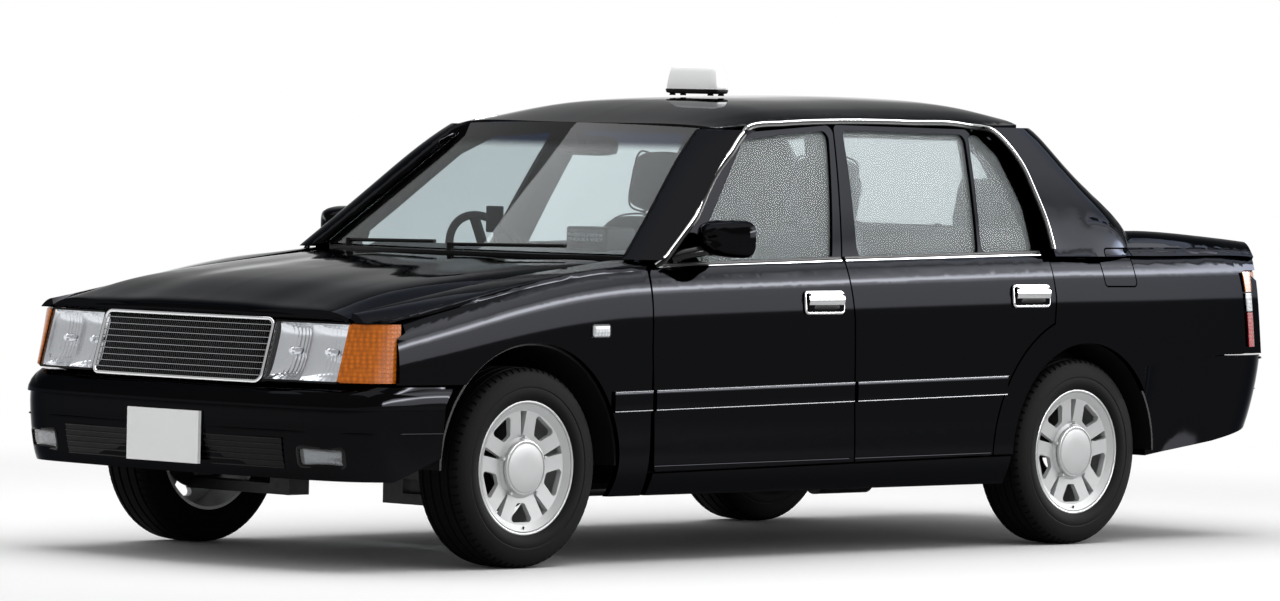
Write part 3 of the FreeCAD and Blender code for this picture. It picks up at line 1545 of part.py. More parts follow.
parts = {
    "front_door_left": [frontDoor],
    "front_door_right": [mirrored(frontDoor)],
    "front_door_glass_left": [frontGlass],
    "front_door_glass_right": [mirrored(frontGlass)],
    "rear_door_left": [rearDoor],
    "rear_door_right": [mirrored(rearDoor)],
    "rear_door_glass_left": rearGlass,
    "rear_door_glass_right": [mirrored(pane) for pane in rearGlass],
    "door_mirror_left": [mirror],
    "door_mirror_right": [mirrored(mirror)],
    "front_fenders": both(fender),
    "bonnet": [hood],
    "roof_panel": [roof],
    "windscreen": [screen],
    "rear_window": [backScreen],
    "rear_quarters": [leftQuarter, mirrored(quarter)],
    "fuel_flap": [flap],
    "side_frames": both(sideFrame),
    "front_pillars": both(frontPillar),
    "grille": [makeGrille()],
    "headlamps": both(headlamp),
    "corner_lamps": both(cornerLamp),
    "fog_lamps": fogLamps,
    "front_bumper": [frontBumper],
    "rear_bumper": [rearBumper],
    "front_plate": [makeFrontPlate(frontBumper)],
    "rear_plate": [makeRearPlate(bootLid)],
    "tail_lamps": both(makeTailLamp()),
    "rear_panel": [makeRearPanel(bootLid)],
    "boot_lid": [bootLid],
    "engine_bay": [fused([makeEngineBay(sideFrame), makeFrontPanel(frontBumper, hood)])],
    "cowl_panel": [cowl],
    "floor_pan": [makeFloor(rearBumper)],
    "wheel_liners": both(frontLiner) + both(rearLiner),
    "dashboard": [fused([dash, makeColumn(dash)])],
    "fare_meter": [makeMeter(dash)],
    "steering_wheel": [makeSteeringWheel()],
    "front_seats": [makeSeat(-seatX), makeSeat(seatX)],
    "rear_seat": [makeRearSeat()],
    "inner_mirror": [makeInnerMirror(screen)],
    "roof_sign": [fused([makeSign(), makeSignFoot(roof)])],
    "wipers": makeWipers(cowl),
    "front_suspension": [makeFrontSuspension()],
    "rear_axle": [fused([makeRearAxle(), makeShaft()])],
    "engine_block": [makeEngine()],
    "exhaust": [makeExhaust(), makeTailPipe()],
    "fuel_tank": [makeTank()],
    "knuckle_left": [knuckle],
    "knuckle_right": [mirrored(knuckle)],
}
for name, x, y in (
    ("front_left", frontWheelX, frontAxleY), ("front_right", -frontWheelX, frontAxleY),
    ("rear_left", rearWheelX, rearAxleY), ("rear_right", -rearWheelX, rearAxleY),
):
    side = 1 if x > 0 else -1
    parts["tyre_" + name] = [makeTyre(x, y, side)]
    parts["rim_" + name] = [makeRim(x, y, side)]

os.makedirs("parts", exist_ok=True)
for name, solids in parts.items():
    shape = solids[0] if len(solids) == 1 else Part.makeCompound(solids)
    shape.exportStep("parts/" + name + ".step")
    print(name, len(shape.Solids), round(shape.Volume / 1e6, 2), shape.isValid())
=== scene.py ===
import json
import math

import bpy
import bmesh
import numpy as np
from mathutils import Matrix, Vector
from mathutils.bvhtree import BVHTree
from mathutils.kdtree import KDTree

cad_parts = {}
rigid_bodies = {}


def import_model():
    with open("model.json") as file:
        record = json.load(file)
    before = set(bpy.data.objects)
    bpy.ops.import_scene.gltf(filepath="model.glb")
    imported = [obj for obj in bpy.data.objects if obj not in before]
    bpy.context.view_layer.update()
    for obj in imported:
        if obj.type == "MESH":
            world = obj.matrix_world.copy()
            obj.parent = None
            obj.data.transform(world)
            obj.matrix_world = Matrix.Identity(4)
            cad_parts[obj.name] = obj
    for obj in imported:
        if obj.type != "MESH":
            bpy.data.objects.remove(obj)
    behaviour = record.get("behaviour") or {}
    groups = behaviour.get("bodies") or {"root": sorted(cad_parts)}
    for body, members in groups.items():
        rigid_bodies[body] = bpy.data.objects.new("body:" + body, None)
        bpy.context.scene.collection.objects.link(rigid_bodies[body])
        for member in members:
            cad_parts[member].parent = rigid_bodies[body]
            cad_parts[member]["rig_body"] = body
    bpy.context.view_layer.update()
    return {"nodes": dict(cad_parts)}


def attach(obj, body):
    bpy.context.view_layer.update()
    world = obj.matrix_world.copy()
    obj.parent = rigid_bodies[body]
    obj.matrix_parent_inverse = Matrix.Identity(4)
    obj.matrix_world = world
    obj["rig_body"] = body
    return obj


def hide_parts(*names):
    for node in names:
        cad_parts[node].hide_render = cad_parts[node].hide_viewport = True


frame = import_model()
scene = bpy.context.scene
print("frame loaded")

# Camera: three quarters from the front, low and far off, leaning a little
cameraSetup = {
    "place": (16.679, -17.566, 1.451),
    "yaw": 43.745, "pitch": 1.521, "roll": 1.269,
    "lens": 202.35, "sensor": 36.0,
}


def makeCamera(setup):
    yaw, pitch, roll = (math.radians(setup[k]) for k in ("yaw", "pitch", "roll"))
    ahead = Vector((-math.sin(yaw) * math.cos(pitch), math.cos(yaw) * math.cos(pitch), -math.sin(pitch)))
    right = Vector((math.cos(yaw), math.sin(yaw), 0))
    up = right.cross(ahead)
    rolledRight = right * math.cos(roll) + up * math.sin(roll)
    rolledUp = up * math.cos(roll) - right * math.sin(roll)
    turn = Matrix((rolledRight, rolledUp, -ahead)).transposed()
    data = bpy.data.cameras.new("viewCamera")
    data.lens, data.sensor_width = setup["lens"], setup["sensor"]
    data.clip_start, data.clip_end = 1.0, 120.0
    camera = bpy.data.objects.new("viewCamera", data)
    scene.collection.objects.link(camera)
    camera.matrix_world = Matrix.Translation(setup["place"]) @ turn.to_4x4()
    scene.camera = camera
    return camera


makeCamera(cameraSetup)
scene.view_settings.view_transform = "Standard"

# Body lines, in metres. Along Y they are shares of the half length, along Z of the height
half = {"length": 2.295, "width": 0.8475, "height": 1.510, "sill": 0.217}
lines = {
    "shoulder": [
        (-0.9717, 0.482), (-0.900, 0.5046), (-0.7965, 0.5384), (-0.682, 0.5748), (-0.565, 0.6033),
        (-0.4466, 0.6185), (-0.008, 0.6344), (0.435, 0.6457), (0.654, 0.647), (0.896, 0.647),
        (0.980, 0.640),
    ],
    "width": [
        (-0.972, 0.9145), (-0.937, 0.9345), (-0.8715, 0.9617), (-0.741, 0.9888), (-0.566, 0.998),
        (0.0, 1.0), (0.566, 0.998), (0.741, 0.9888), (0.8715, 0.970), (0.937, 0.953), (1.0, 0.926),
    ],
    "inset": [
        (0.0, 0.053), (0.104, 0.014), (0.246, 0.006), (0.408, 0.002), (0.583, 0.0), (0.758, 0.001),
        (0.852, 0.006), (0.919, 0.015), (0.973, 0.0295), (1.0, 0.039),
    ],
    "sillLine": [(-0.49, 0.1935), (0.32, 0.2105)],
    "hoodCentre": [
        (-0.9600, 0.5140), (-0.9565, 0.5290), (-0.9480, 0.5400), (-0.932, 0.5483),
        (-0.822, 0.5914), (-0.660, 0.6192), (-0.496, 0.6411), (-0.392, 0.6517),
    ],
    "hoodGap": [
        (-0.9600, 0.5110), (-0.9565, 0.5125), (-0.9480, 0.5150), (-0.908, 0.5242),
        (-0.6845, 0.5795), (-0.520, 0.6106), (-0.377, 0.6344),
    ],
    "hoodAcross": [
        (0.0, 1.0), (0.3, 0.97), (0.5, 0.86), (0.7, 0.80), (0.87, 0.66), (0.95, 0.34), (1.0, 0.0),
    ],
    "roofCrown": [
        (-0.218, 0.9285), (-0.103, 0.9682), (-0.028, 0.9848), (0.187, 0.998), (0.3355, 1.0),
        (0.436, 0.992), (0.501, 0.9656),
    ],
    "rail": [
        (-0.218, 0.922), (-0.134, 0.930), (-0.0436, 0.941), (0.0614, 0.947), (0.369, 0.943),
        (0.436, 0.943), (0.501, 0.947),
    ],
    "railWidth": [
        (-0.218, 0.643), (-0.134, 0.708), (0.0614, 0.7174), (0.369, 0.715), (0.436, 0.6985),
        (0.501, 0.661),
    ],
    "roofAcross": [(0.0, 1.0), (0.3, 0.965), (0.6, 0.82), (0.8, 0.56), (0.93, 0.24), (1.0, 0.0)],
    "deck": [(0.654, 0.7086), (0.710, 0.706), (0.962, 0.6828), (1.0, 0.676)],
    "deckEdge": [(0.61, 0.6887), (0.710, 0.694), (0.931, 0.6728), (0.976, 0.665)],
    "deckAcross": [(0.0, 1.0), (0.5, 0.90), (0.8, 0.62), (0.93, 0.30), (1.0, 0.0)],
    "noseTop": [
        (0.0, -0.9590), (0.225, -0.9575), (0.450, -0.9530), (0.640, -0.9445), (0.813, -0.9365),
        (0.872, -0.926), (0.914, -0.912), (0.932, -0.900),
    ],
    "noseBottom": [
        (0.0, -0.983), (0.225, -0.9815), (0.450, -0.9765), (0.640, -0.9680), (0.813, -0.9590),
        (0.872, -0.9430), (0.914, -0.9220), (0.932, -0.9000),
    ],
    "bumperFront": [
        (0.0, -0.9965), (0.35, -0.9900), (0.66, -0.9800), (0.86, -0.9600), (0.925, -0.9350),
        (0.965, -0.880), (0.991, -0.815),
    ],
    "bumperTuck": [(0.0, 0.985), (0.25, 0.995), (0.6, 1.0), (0.82, 0.9975), (1.0, 0.978)],
    "rearTuck": [(0.0, 0.93), (0.3, 0.965), (0.7, 0.99), (1.0, 1.0)],
    "bumperRear": [
        (0.0, 1.0), (0.40, 0.9965), (0.72, 0.987), (0.88, 0.972), (0.945, 0.945), (0.978, 0.86),
        (0.994, 0.655),
    ],
    "tail": [
        (0.0, 0.9735), (0.35, 0.972), (0.66, 0.966), (0.83, 0.952), (0.905, 0.935), (0.935, 0.915),
    ],
}
cabinSide = {"base": 0.949, "lean": 0.33, "curve": 0.24}
noseFace = {"low": 0.588, "rise": 0.182}
tailFace = {"top": 1.006, "lean": 0.13}
shoulderRound = 0.022
hoodEdgeX, deckEdgeX = 0.814 * half["width"], 0.832 * half["width"]


def along(name, place):
    # Smooth curve through a table, for one place or an array of them
    table = np.array(lines[name])
    xs, ys = table[:, 0], table[:, 1]
    place = np.clip(np.asarray(place, float), xs[0], xs[-1])
    here = np.clip(np.searchsorted(xs, place, side="right") - 1, 0, len(xs) - 2)
    low, high = np.maximum(np.arange(len(xs)) - 1, 0), np.minimum(np.arange(len(xs)) + 1, len(xs) - 1)
    slopes = (ys[high] - ys[low]) / (xs[high] - xs[low])
    span = xs[here + 1] - xs[here]
    t = (place - xs[here]) / span
    rise = ys[here + 1] - ys[here]
    return (
        ys[here] + rise * t * t * (3 - 2 * t)
        + slopes[here] * span * t * (1 - t) ** 2 - slopes[here + 1] * span * t * t * (1 - t)
    )


def shoulderZ(y):
    return along("shoulder", y / half["length"]) * half["height"]


def sideX(y, z):
    level = (z - half["sill"]) / (shoulderZ(y) - half["sill"])
    return half["width"] * (along("width", y / half["length"]) - along("inset", level))


def cabinX(y, z):
    rise = z - shoulderZ(y)
    lean = cabinSide["lean"] + cabinSide["curve"] * rise / half["height"]
    return half["width"] * cabinSide["base"] - rise * lean


def hoodZ(x, y):
    edge = along("hoodGap", y / half["length"]) * half["height"]
    centre = along("hoodCentre", y / half["length"]) * half["height"]
    return edge + (centre - edge) * along("hoodAcross", abs(x) / hoodEdgeX)


def railX(y):
    return along("railWidth", y / half["length"]) * half["width"]


def roofZ(x, y):
    edge = along("rail", y / half["length"]) * half["height"]
    crown = along("roofCrown", y / half["length"]) * half["height"]
    return edge + (crown - edge) * along("roofAcross", abs(x) / railX(y))


def deckZ(x, y):
    edge = along("deckEdge", y / half["length"]) * half["height"]
    centre = along("deck", y / half["length"]) * half["height"]
    return edge + (centre - edge) * along("deckAcross", abs(x) / deckEdgeX)


def noseY(x, z):
    top = along("noseTop", abs(x) / half["width"]) * half["length"]
    bottom = along("noseBottom", abs(x) / half["width"]) * half["length"]
    return bottom + (top - bottom) * (z - noseFace["low"]) / noseFace["rise"]


def tailY(x, z):
    lean = (tailFace["top"] - z) * tailFace["lean"]
    return along("tail", abs(x) / half["width"]) * half["length"] + lean


def stripZ(x, y, edgeX, edgeLevel):
    # Rounded top between the shoulder and the bonnet's or the lid's edge
    level = shoulderZ(y)
    start = sideX(y, level) - shoulderRound / 3
    t = np.clip((start - abs(x)) / (start - edgeX), 0, 1)
    low = level - shoulderRound / 4
    return low + (edgeLevel(y) - low) * np.sin(t * math.pi / 2)


def fenderTop(x, y):
    return stripZ(x, y, hoodEdgeX, lambda v: hoodZ(hoodEdgeX, v))


def quarterTop(x, y):
    return stripZ(x, y, deckEdgeX, lambda v: deckZ(deckEdgeX, v))


# Each surface gives a height above it, whose slope is the way it faces
surfaces = {
    "side": lambda x, y, z: abs(x) - sideX(y, z),
    "cabin": lambda x, y, z: abs(x) - cabinX(y, z),
    "hood": lambda x, y, z: z - hoodZ(x, y),
    "roof": lambda x, y, z: z - roofZ(x, y),
    "deck": lambda x, y, z: z - deckZ(x, y),
    "nose": lambda x, y, z: noseY(x, z) - y,
    "tail": lambda x, y, z: y - tailY(x, z),
    "fenderTop": lambda x, y, z: z - fenderTop(x, y),
    "quarterTop": lambda x, y, z: z - quarterTop(x, y),
}


def facing(surface, points):
    # Unit directions square to a surface, by small steps
    step = 0.0008
    x, y, z = points.T
    height = surfaces[surface]
    slope = np.stack([
        height(x + step, y, z) - height(x - step, y, z),
        height(x, y + step, z) - height(x, y - step, z),
        height(x, y, z + step) - height(x, y, z - step),
    ], axis=1)
    return slope / np.maximum(np.linalg.norm(slope, axis=1, keepdims=True), 1e-9)


# Along the shoulder: how steeply it faces up at a height or a place inward, and where it is rolled
shoulderBend = {
    "rise": [-0.030, -0.012, 0.0, 0.009], "tilt": [17.3, 20.5, 26.0, 48.0],
    "inward": [0.0045, 0.0135], "rollTilt": [20.0, 78.0], "rolledAhead": -0.97, "rolledBehind": 1.22,
}


def shoulderTurn(points, faces, normals, rolled):
    # Along the shoulder the direction turns evenly from the side to the ledge or the top
    x, y, z = points.T
    rise = z - shoulderZ(y)
    side = facing("side", np.stack([x, y, z - 0.03], axis=1))
    level = np.hypot(side[:, 0], side[:, 1])
    out = faces[:, 0] * np.sign(x)
    upward = faces[:, 2] > 0.05
    rollEnd = shoulderBend["inward"][1]
    ledge = (rise > shoulderBend["rise"][0]) & (rise < 0.0115) & (abs(x) > 0.78) & (out > 0.25) & upward
    tilt = np.interp(rise, shoulderBend["rise"], shoulderBend["tilt"])
    if rolled:
        inward = sideX(y, z - 0.016) - abs(x)
        top = (y < shoulderBend["rolledAhead"]) | (y > shoulderBend["rolledBehind"])
        tilt = np.where(top, np.interp(inward, shoulderBend["inward"], shoulderBend["rollTilt"]), tilt)
        roll = top & (rise > -0.018) & (inward > 0.0) & (inward < rollEnd) & upward
        ledge = np.where(top, roll, ledge)
    tilt = np.radians(tilt)
    turned = np.stack([
        side[:, 0] / level * np.cos(tilt), side[:, 1] / level * np.cos(tilt), np.sin(tilt),
    ], axis=1)
    normals[ledge] = turned[ledge]
    if rolled:
        strip = "fenderTop" if y.mean() < 0 else "quarterTop"
        flat = top & (inward >= rollEnd) & (faces[:, 2] > 0.45) & (abs(surfaces[strip](x, y, z)) < 0.012)
        flat &= abs(x) > (0.80 if strip == "fenderTop" else 0.82) * half["width"]
        normals[flat] = facing(strip, points)[flat]
        ledge = ledge | flat
    return ledge


def evenOut(points, corners, owner, faces, areas, centres, normals, fixed, reach=0.028):
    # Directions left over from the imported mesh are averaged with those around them
    spots = points * 0.65 + centres[owner] * 0.35
    tree = KDTree(len(spots))
    for k, spot in enumerate(spots):
        tree.insert(spot, k)
    tree.balance()
    weights = areas[owner]
    before = np.where(fixed[:, None], normals, faces[owner])
    free = np.flatnonzero(~fixed)
    free = free[np.argsort(corners[free], kind="stable")]
    for group in np.split(free, np.flatnonzero(np.diff(corners[free])) + 1):
        near = tree.find_range(points[group[0]], reach) if len(group) else []
        if len(near) < 2:
            continue
        ids = np.array([item[1] for item in near])
        far = np.array([item[2] for item in near])
        alike = faces[owner[ids]] @ faces[owner[group]].T > 0.72
        share = (weights[ids] * np.exp(-(far / reach * 1.6) ** 2))[:, None] * alike
        total = share.T @ before[ids]
        size = np.linalg.norm(total, axis=1)
        good = size > 1e-12
        normals[group[good]] = total[good] / size[good, None]


def cutAt(work, axis, place):
    way = Vector([float(k == axis) for k in range(3)])
    parts = work.verts[:] + work.edges[:] + work.faces[:]
    bmesh.ops.bisect_plane(work, geom=parts, plane_co=way * place, plane_no=way)


def addRows(work, steps):
    # Rows of points across a mesh, so that its true directions follow closely
    for axis, step in enumerate(steps):
        places = [v.co[axis] for v in work.verts]
        here = math.ceil(min(places) / step) * step
        top = max(places)
        while here < top:
            cutAt(work, axis, here)
            here += step


def readAll(items, field, width=1, kind=float):
    # One field of every item of a mesh, in rows where it has several numbers
    values = np.zeros(len(items) * width, kind)
    items.foreach_get(field, values)
    return values.reshape(-1, width) if width > 1 else values


def smoothCopy(node, surfaceNames, reach=0.006, angle=32, steps=(0.09, 0.09, 0.035)):
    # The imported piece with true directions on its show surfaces
    source = frame["nodes"][node]
    rolled = node in ("front_fenders", "rear_quarters")
    mesh = source.data.copy()
    work = bmesh.new()
    work.from_mesh(mesh)
    bmesh.ops.remove_doubles(work, verts=work.verts, dist=1e-5)
    if surfaceNames:
        addRows(work, steps)
    if rolled:
        for x in spaced(0.765, 0.850, 16):
            cutAt(work, 0, x)
            cutAt(work, 0, -x)
    work.to_mesh(mesh)
    work.free()
    mesh.shade_smooth()
    mesh.set_sharp_from_angle(angle=math.radians(angle))
    normals = readAll(mesh.corner_normals, "vector", 3)
    places = readAll(mesh.vertices, "co", 3)
    corners = readAll(mesh.loops, "vertex_index", kind=int)
    faces = readAll(mesh.polygons, "normal", 3)
    totals = readAll(mesh.polygons, "loop_total", kind=int)
    owner = np.repeat(np.arange(len(totals)), totals)
    done = np.zeros(len(corners), bool)
    for name in surfaceNames:
        points = places[corners]
        off = abs(surfaces[name](*points.T))
        ways = facing(name, points)
        off = off * np.clip(1 / np.maximum(np.linalg.norm(ways, axis=1), 0.2), 0, 5)
        agree = (ways * faces[owner]).sum(1) > 0.8
        near = off < reach
        if name == "side":
            near &= points[:, 2] < shoulderZ(points[:, 1]) + 0.004
        elif name == "cabin":
            near &= points[:, 2] > shoulderZ(points[:, 1]) + 0.012
        whole = np.ones(len(totals), bool)
        np.logical_and.at(whole, owner, near & agree)
        use = whole[owner] & ~done
        normals[use] = ways[use]
        done |= use
    if "side" in surfaceNames:
        done |= shoulderTurn(places[corners], faces[owner], normals, rolled)
    if surfaceNames:
        areas = readAll(mesh.polygons, "area")
        centres = readAll(mesh.polygons, "center", 3)
        evenOut(places[corners], corners, owner, faces, areas, centres, normals, done)
    mesh.normals_split_custom_set(normals.tolist())
    piece = bpy.data.objects.new(node + "Body", mesh)
    scene.collection.objects.link(piece)
    piece.data.materials.clear()
    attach(piece, source["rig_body"])
    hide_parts(node)
    return piece


print("body lines ready")


# Mesh helpers
def pieceFrom(work, name, smooth=False):
    mesh = bpy.data.meshes.new(name)
    bmesh.ops.recalc_face_normals(work, faces=work.faces)
    work.to_mesh(mesh)
    work.free()
    if smooth:
        mesh.shade_smooth()
        mesh.set_sharp_from_angle(angle=math.radians(35))
    piece = bpy.data.objects.new(name, mesh)
    scene.collection.objects.link(piece)
    return piece


def sheet(rows, name, thick=0.0, smooth=True):
    # Sheet through rows of points, with an inner side at a depth
    work = bmesh.new()
    grid = [[work.verts.new(p) for p in row] for row in rows]
    for low, high in zip(grid, grid[1:]):
        for a, b, c, d in zip(low, low[1:], high[1:], high):
            work.faces.new((a, b, c, d))
    work.normal_update()
    if thick:
        bmesh.ops.solidify(work, geom=work.faces[:], thickness=thick)
    return pieceFrom(work, name, smooth)


def sweep(path, outward, profile, name, closed=False, smooth=True):
    # Profile of (out, across) pairs carried along a path with its outward directions
    work = bmesh.new()
    path = [Vector(p) for p in path]
    count = len(path)
    rings = []
    for k, point in enumerate(path):
        before = path[k - 1] if (k or closed) else path[0]
        after = path[(k + 1) % count] if (k < count - 1 or closed) else path[-1]
        run = (after - before).normalized()
        out = Vector(outward[k] if isinstance(outward, list) else outward)
        out = (out - run * out.dot(run)).normalized()
        across = run.cross(out)
        rings.append([work.verts.new(point + out * a + across * b) for a, b in profile])
    size = len(profile)
    pairs = list(zip(rings, rings[1:])) + ([(rings[-1], rings[0])] if closed else [])
    for one, two in pairs:
        for k in range(size):
            work.faces.new((one[k], one[(k + 1) % size], two[(k + 1) % size], two[k]))
    if not closed:
        work.faces.new(rings[0])
        work.faces.new(rings[-1][::-1])
    return pieceFrom(work, name, smooth)


def sweepFacing(pairs, profile, name, closed=False):
    # Profile carried along (point, way it faces) pairs
    return sweep([p for p, n in pairs], [n for p, n in pairs], profile, name, closed)


def roundBar(radius, flat=1.0, count=10, out=0.0):
    # Round or flattened profile, for sweep
    return [
        (out + radius * flat * math.cos(2 * math.pi * k / count), radius * math.sin(2 * math.pi * k / count))
        for k in range(count)
    ]


def block(low, high, name, bevel=0.0, segments=3, smooth=True):
    # Block with rounded edges
    work = bmesh.new()
    bmesh.ops.create_cube(work, size=1)
    size = [b - a for a, b in zip(low, high)]
    middle = [(a + b) / 2 for a, b in zip(low, high)]
    bmesh.ops.scale(work, vec=size, verts=work.verts)
    bmesh.ops.translate(work, vec=middle, verts=work.verts)
    if bevel:
        bmesh.ops.bevel(
            work, geom=work.edges[:], offset=bevel, segments=segments, affect="EDGES", profile=0.5,
        )
    return pieceFrom(work, name, smooth)


def lathe(profile, centre, name, axis="X", count=64, smooth=True):
    # Profile of (along, radius) pairs turned round an axis through a centre
    work = bmesh.new()
    rings = []
    for k in range(count):
        turn = 2 * math.pi * k / count
        ring = []
        for a, r in profile:
            c, s = r * math.cos(turn), r * math.sin(turn)
            place = {"X": (a, c, s), "Y": (c, a, s), "Z": (c, s, a)}[axis]
            ring.append(work.verts.new(Vector(centre) + Vector(place)))
        rings.append(ring)
    size = len(profile)
    for one, two in zip(rings, rings[1:] + rings[:1]):
        for k in range(size - 1):
            work.faces.new((one[k], one[k + 1], two[k + 1], two[k]))
    bmesh.ops.remove_doubles(work, verts=work.verts, dist=1e-6)
    return pieceFrom(work, name, smooth)


def mirroredCopy(piece, name):
    # The same piece on the car's other side
    mesh = piece.data.copy()
    work = bmesh.new()
    work.from_mesh(mesh)
    bmesh.ops.scale(work, vec=(-1, 1, 1), verts=work.verts)
    bmesh.ops.reverse_faces(work, faces=work.faces)
    work.to_mesh(mesh)
    work.free()
    other = bpy.data.objects.new(name, mesh)
    scene.collection.objects.link(other)
    return other


def dress(piece, finish, body, node=None):
    piece.data.materials.clear()
    piece.data.materials.append(finishes[finish])
    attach(piece, body)
    if node:
        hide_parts(node)
    return piece


def joinPieces(pieces, name):
    # Several meshes as one piece
    work = bmesh.new()
    for piece in pieces:
        work.from_mesh(piece.data)
    for piece in pieces:
        bpy.data.objects.remove(piece)
    whole = pieceFrom(work, name)
    whole.data.shade_smooth()
    whole.data.set_sharp_from_angle(angle=math.radians(35))
    return whole


def spaced(first, last, count):
    return [first + (last - first) * k / (count - 1) for k in range(count)]


# Materials
def newMaterial(name, colour, rough, metal=0.0, **sockets):
    material = bpy.data.materials.new(name)
    material.use_nodes = True
    shader = material.node_tree.nodes["Principled BSDF"]
    shader.inputs["Base Color"].default_value = (*colour, 1)
    shader.inputs["Roughness"].default_value = rough
    shader.inputs["Metallic"].default_value = metal
    for label, value in sockets.items():
        shader.inputs[label.replace("_", " ")].default_value = value
    return material


def addNode(material, kind, **settings):
    node = material.node_tree.nodes.new(kind)
    for label, value in settings.items():
        if hasattr(node, label):
            setattr(node, label, value)
        else:
            node.inputs[label].default_value = value
    return node


def link(material, start, startSocket, end, endSocket):
    material.node_tree.links.new(start.outputs[startSocket], end.inputs[endSocket])


def grain(material, scale, bump, spread=0.0, detail=4, stretch=(1, 1, 1), distance=0.001):
    # Fine uneven surface: bump, and roughness that wanders round its value
    shader = material.node_tree.nodes["Principled BSDF"]
    place = addNode(material, "ShaderNodeTexCoord")
    mapping = addNode(material, "ShaderNodeMapping")
    mapping.inputs["Scale"].default_value = stretch
    noise = addNode(material, "ShaderNodeTexNoise")
    noise.inputs["Scale"].default_value = scale
    noise.inputs["Detail"].default_value = detail
    link(material, place, "Object", mapping, "Vector")
    link(material, mapping, "Vector", noise, "Vector")
    if bump:
        lift = addNode(material, "ShaderNodeBump")
        lift.inputs["Strength"].default_value = bump
        lift.inputs["Distance"].default_value = distance
        link(material, noise, "Fac", lift, "Height")
        link(material, lift, "Normal", shader, "Normal")
    if spread:
        base = shader.inputs["Roughness"].default_value
        span = addNode(material, "ShaderNodeMapRange")
        span.inputs["To Min"].default_value = max(base - spread, 0)
        span.inputs["To Max"].default_value = base + spread
        link(material, noise, "Fac", span, "Value")
        link(material, span, "Result", shader, "Roughness")
    return material


def makeBlackPaint():
    # Deep black lacquer: faint mirror, held low at a glancing angle, over the least orange peel
    paint = newMaterial("blackLacquer", (0.0060, 0.0061, 0.0068), 0.05, 1.0)
    shader = paint.node_tree.nodes["Principled BSDF"]
    shader.inputs["Specular Tint"].default_value = (0.50, 0.505, 0.515, 1)
    return grain(paint, 260, 0.01, 0.012, detail=2, distance=0.0003)


def makeMetal(name, colour, rough, bump=0.02, scale=300, stretch=(1, 1, 1)):
    metal = newMaterial(name, colour, rough, 1.0)
    return grain(metal, scale, bump, rough * 0.3, stretch=stretch, distance=0.0003)


def makePlastic(name, colour, rough, scale=900, bump=0.15, shine=0.5):
    plastic = newMaterial(name, colour, rough, Specular_IOR_Level=shine)
    return grain(plastic, scale, bump, rough * 0.15, detail=6, distance=0.0005)


def addCells(material, scale, first, last, strength, distance, randomness=1.0):
    # Small cells that colour the surface from first to last and stand out a little
    shader = material.node_tree.nodes["Principled BSDF"]
    place = addNode(material, "ShaderNodeTexCoord")
    cells = addNode(material, "ShaderNodeTexVoronoi", Scale=scale, Randomness=randomness)
    tint = addNode(material, "ShaderNodeValToRGB")
    tint.color_ramp.elements[0].color = (*first, 1)
    tint.color_ramp.elements[1].color = (*last, 1)
    lift = addNode(material, "ShaderNodeBump", Strength=strength, Distance=distance)
    link(material, place, "Object", cells, "Vector")
    link(material, cells, "Distance", tint, "Fac")
    link(material, tint, "Color", shader, "Base Color")
    link(material, cells, "Distance", lift, "Height")
    link(material, lift, "Normal", shader, "Normal")
    return material


def scaled(colour, factor):
    return [min(c * factor, 1) for c in colour]


def makeFabric(name, colour, scale=650):
    fabric = newMaterial(name, colour, 0.9, Sheen_Weight=0.08, Specular_IOR_Level=0.05)
    return addCells(fabric, scale, scaled(colour, 0.6), scaled(colour, 1.3), 0.4, 0.0008)


def makeLens(name, colour):
    # Coloured lens whose moulded prisms show as a mottled grid under a glossy face
    lens = newMaterial(name, colour, 0.3, Coat_Weight=0.35, Coat_Roughness=0.05, Specular_IOR_Level=0.2)
    return addCells(lens, 75, scaled(colour, 1.35), scaled(colour, 0.42), 0.35, 0.0015, 0.25)


def makeScreenGlass(name, colour, band, low, high):
    # Windscreen with a blue shade band along its top
    glass = newMaterial(name, colour, 0.0, 0.0, IOR=1.25, Transmission_Weight=1.0)
    shader = glass.node_tree.nodes["Principled BSDF"]
    place = addNode(glass, "ShaderNodeTexCoord")
    parts = addNode(glass, "ShaderNodeSeparateXYZ")
    span = addNode(glass, "ShaderNodeMapRange")
    span.interpolation_type = "SMOOTHSTEP"
    span.inputs["From Min"].default_value = low
    span.inputs["From Max"].default_value = high
    tint = addNode(glass, "ShaderNodeValToRGB")
    tint.color_ramp.elements[0].color = (*colour, 1)
    tint.color_ramp.elements[1].color = (*band, 1)
    link(glass, place, "Object", parts, "Vector")
    link(glass, parts, "Z", span, "Value")
    link(glass, span, "Result", tint, "Fac")
    link(glass, tint, "Color", shader, "Base Color")
    return glass


def makeGlass(name, colour, rough=0.0, ior=1.45, weight=1.0):
    return newMaterial(name, colour, rough, IOR=ior, Transmission_Weight=weight)


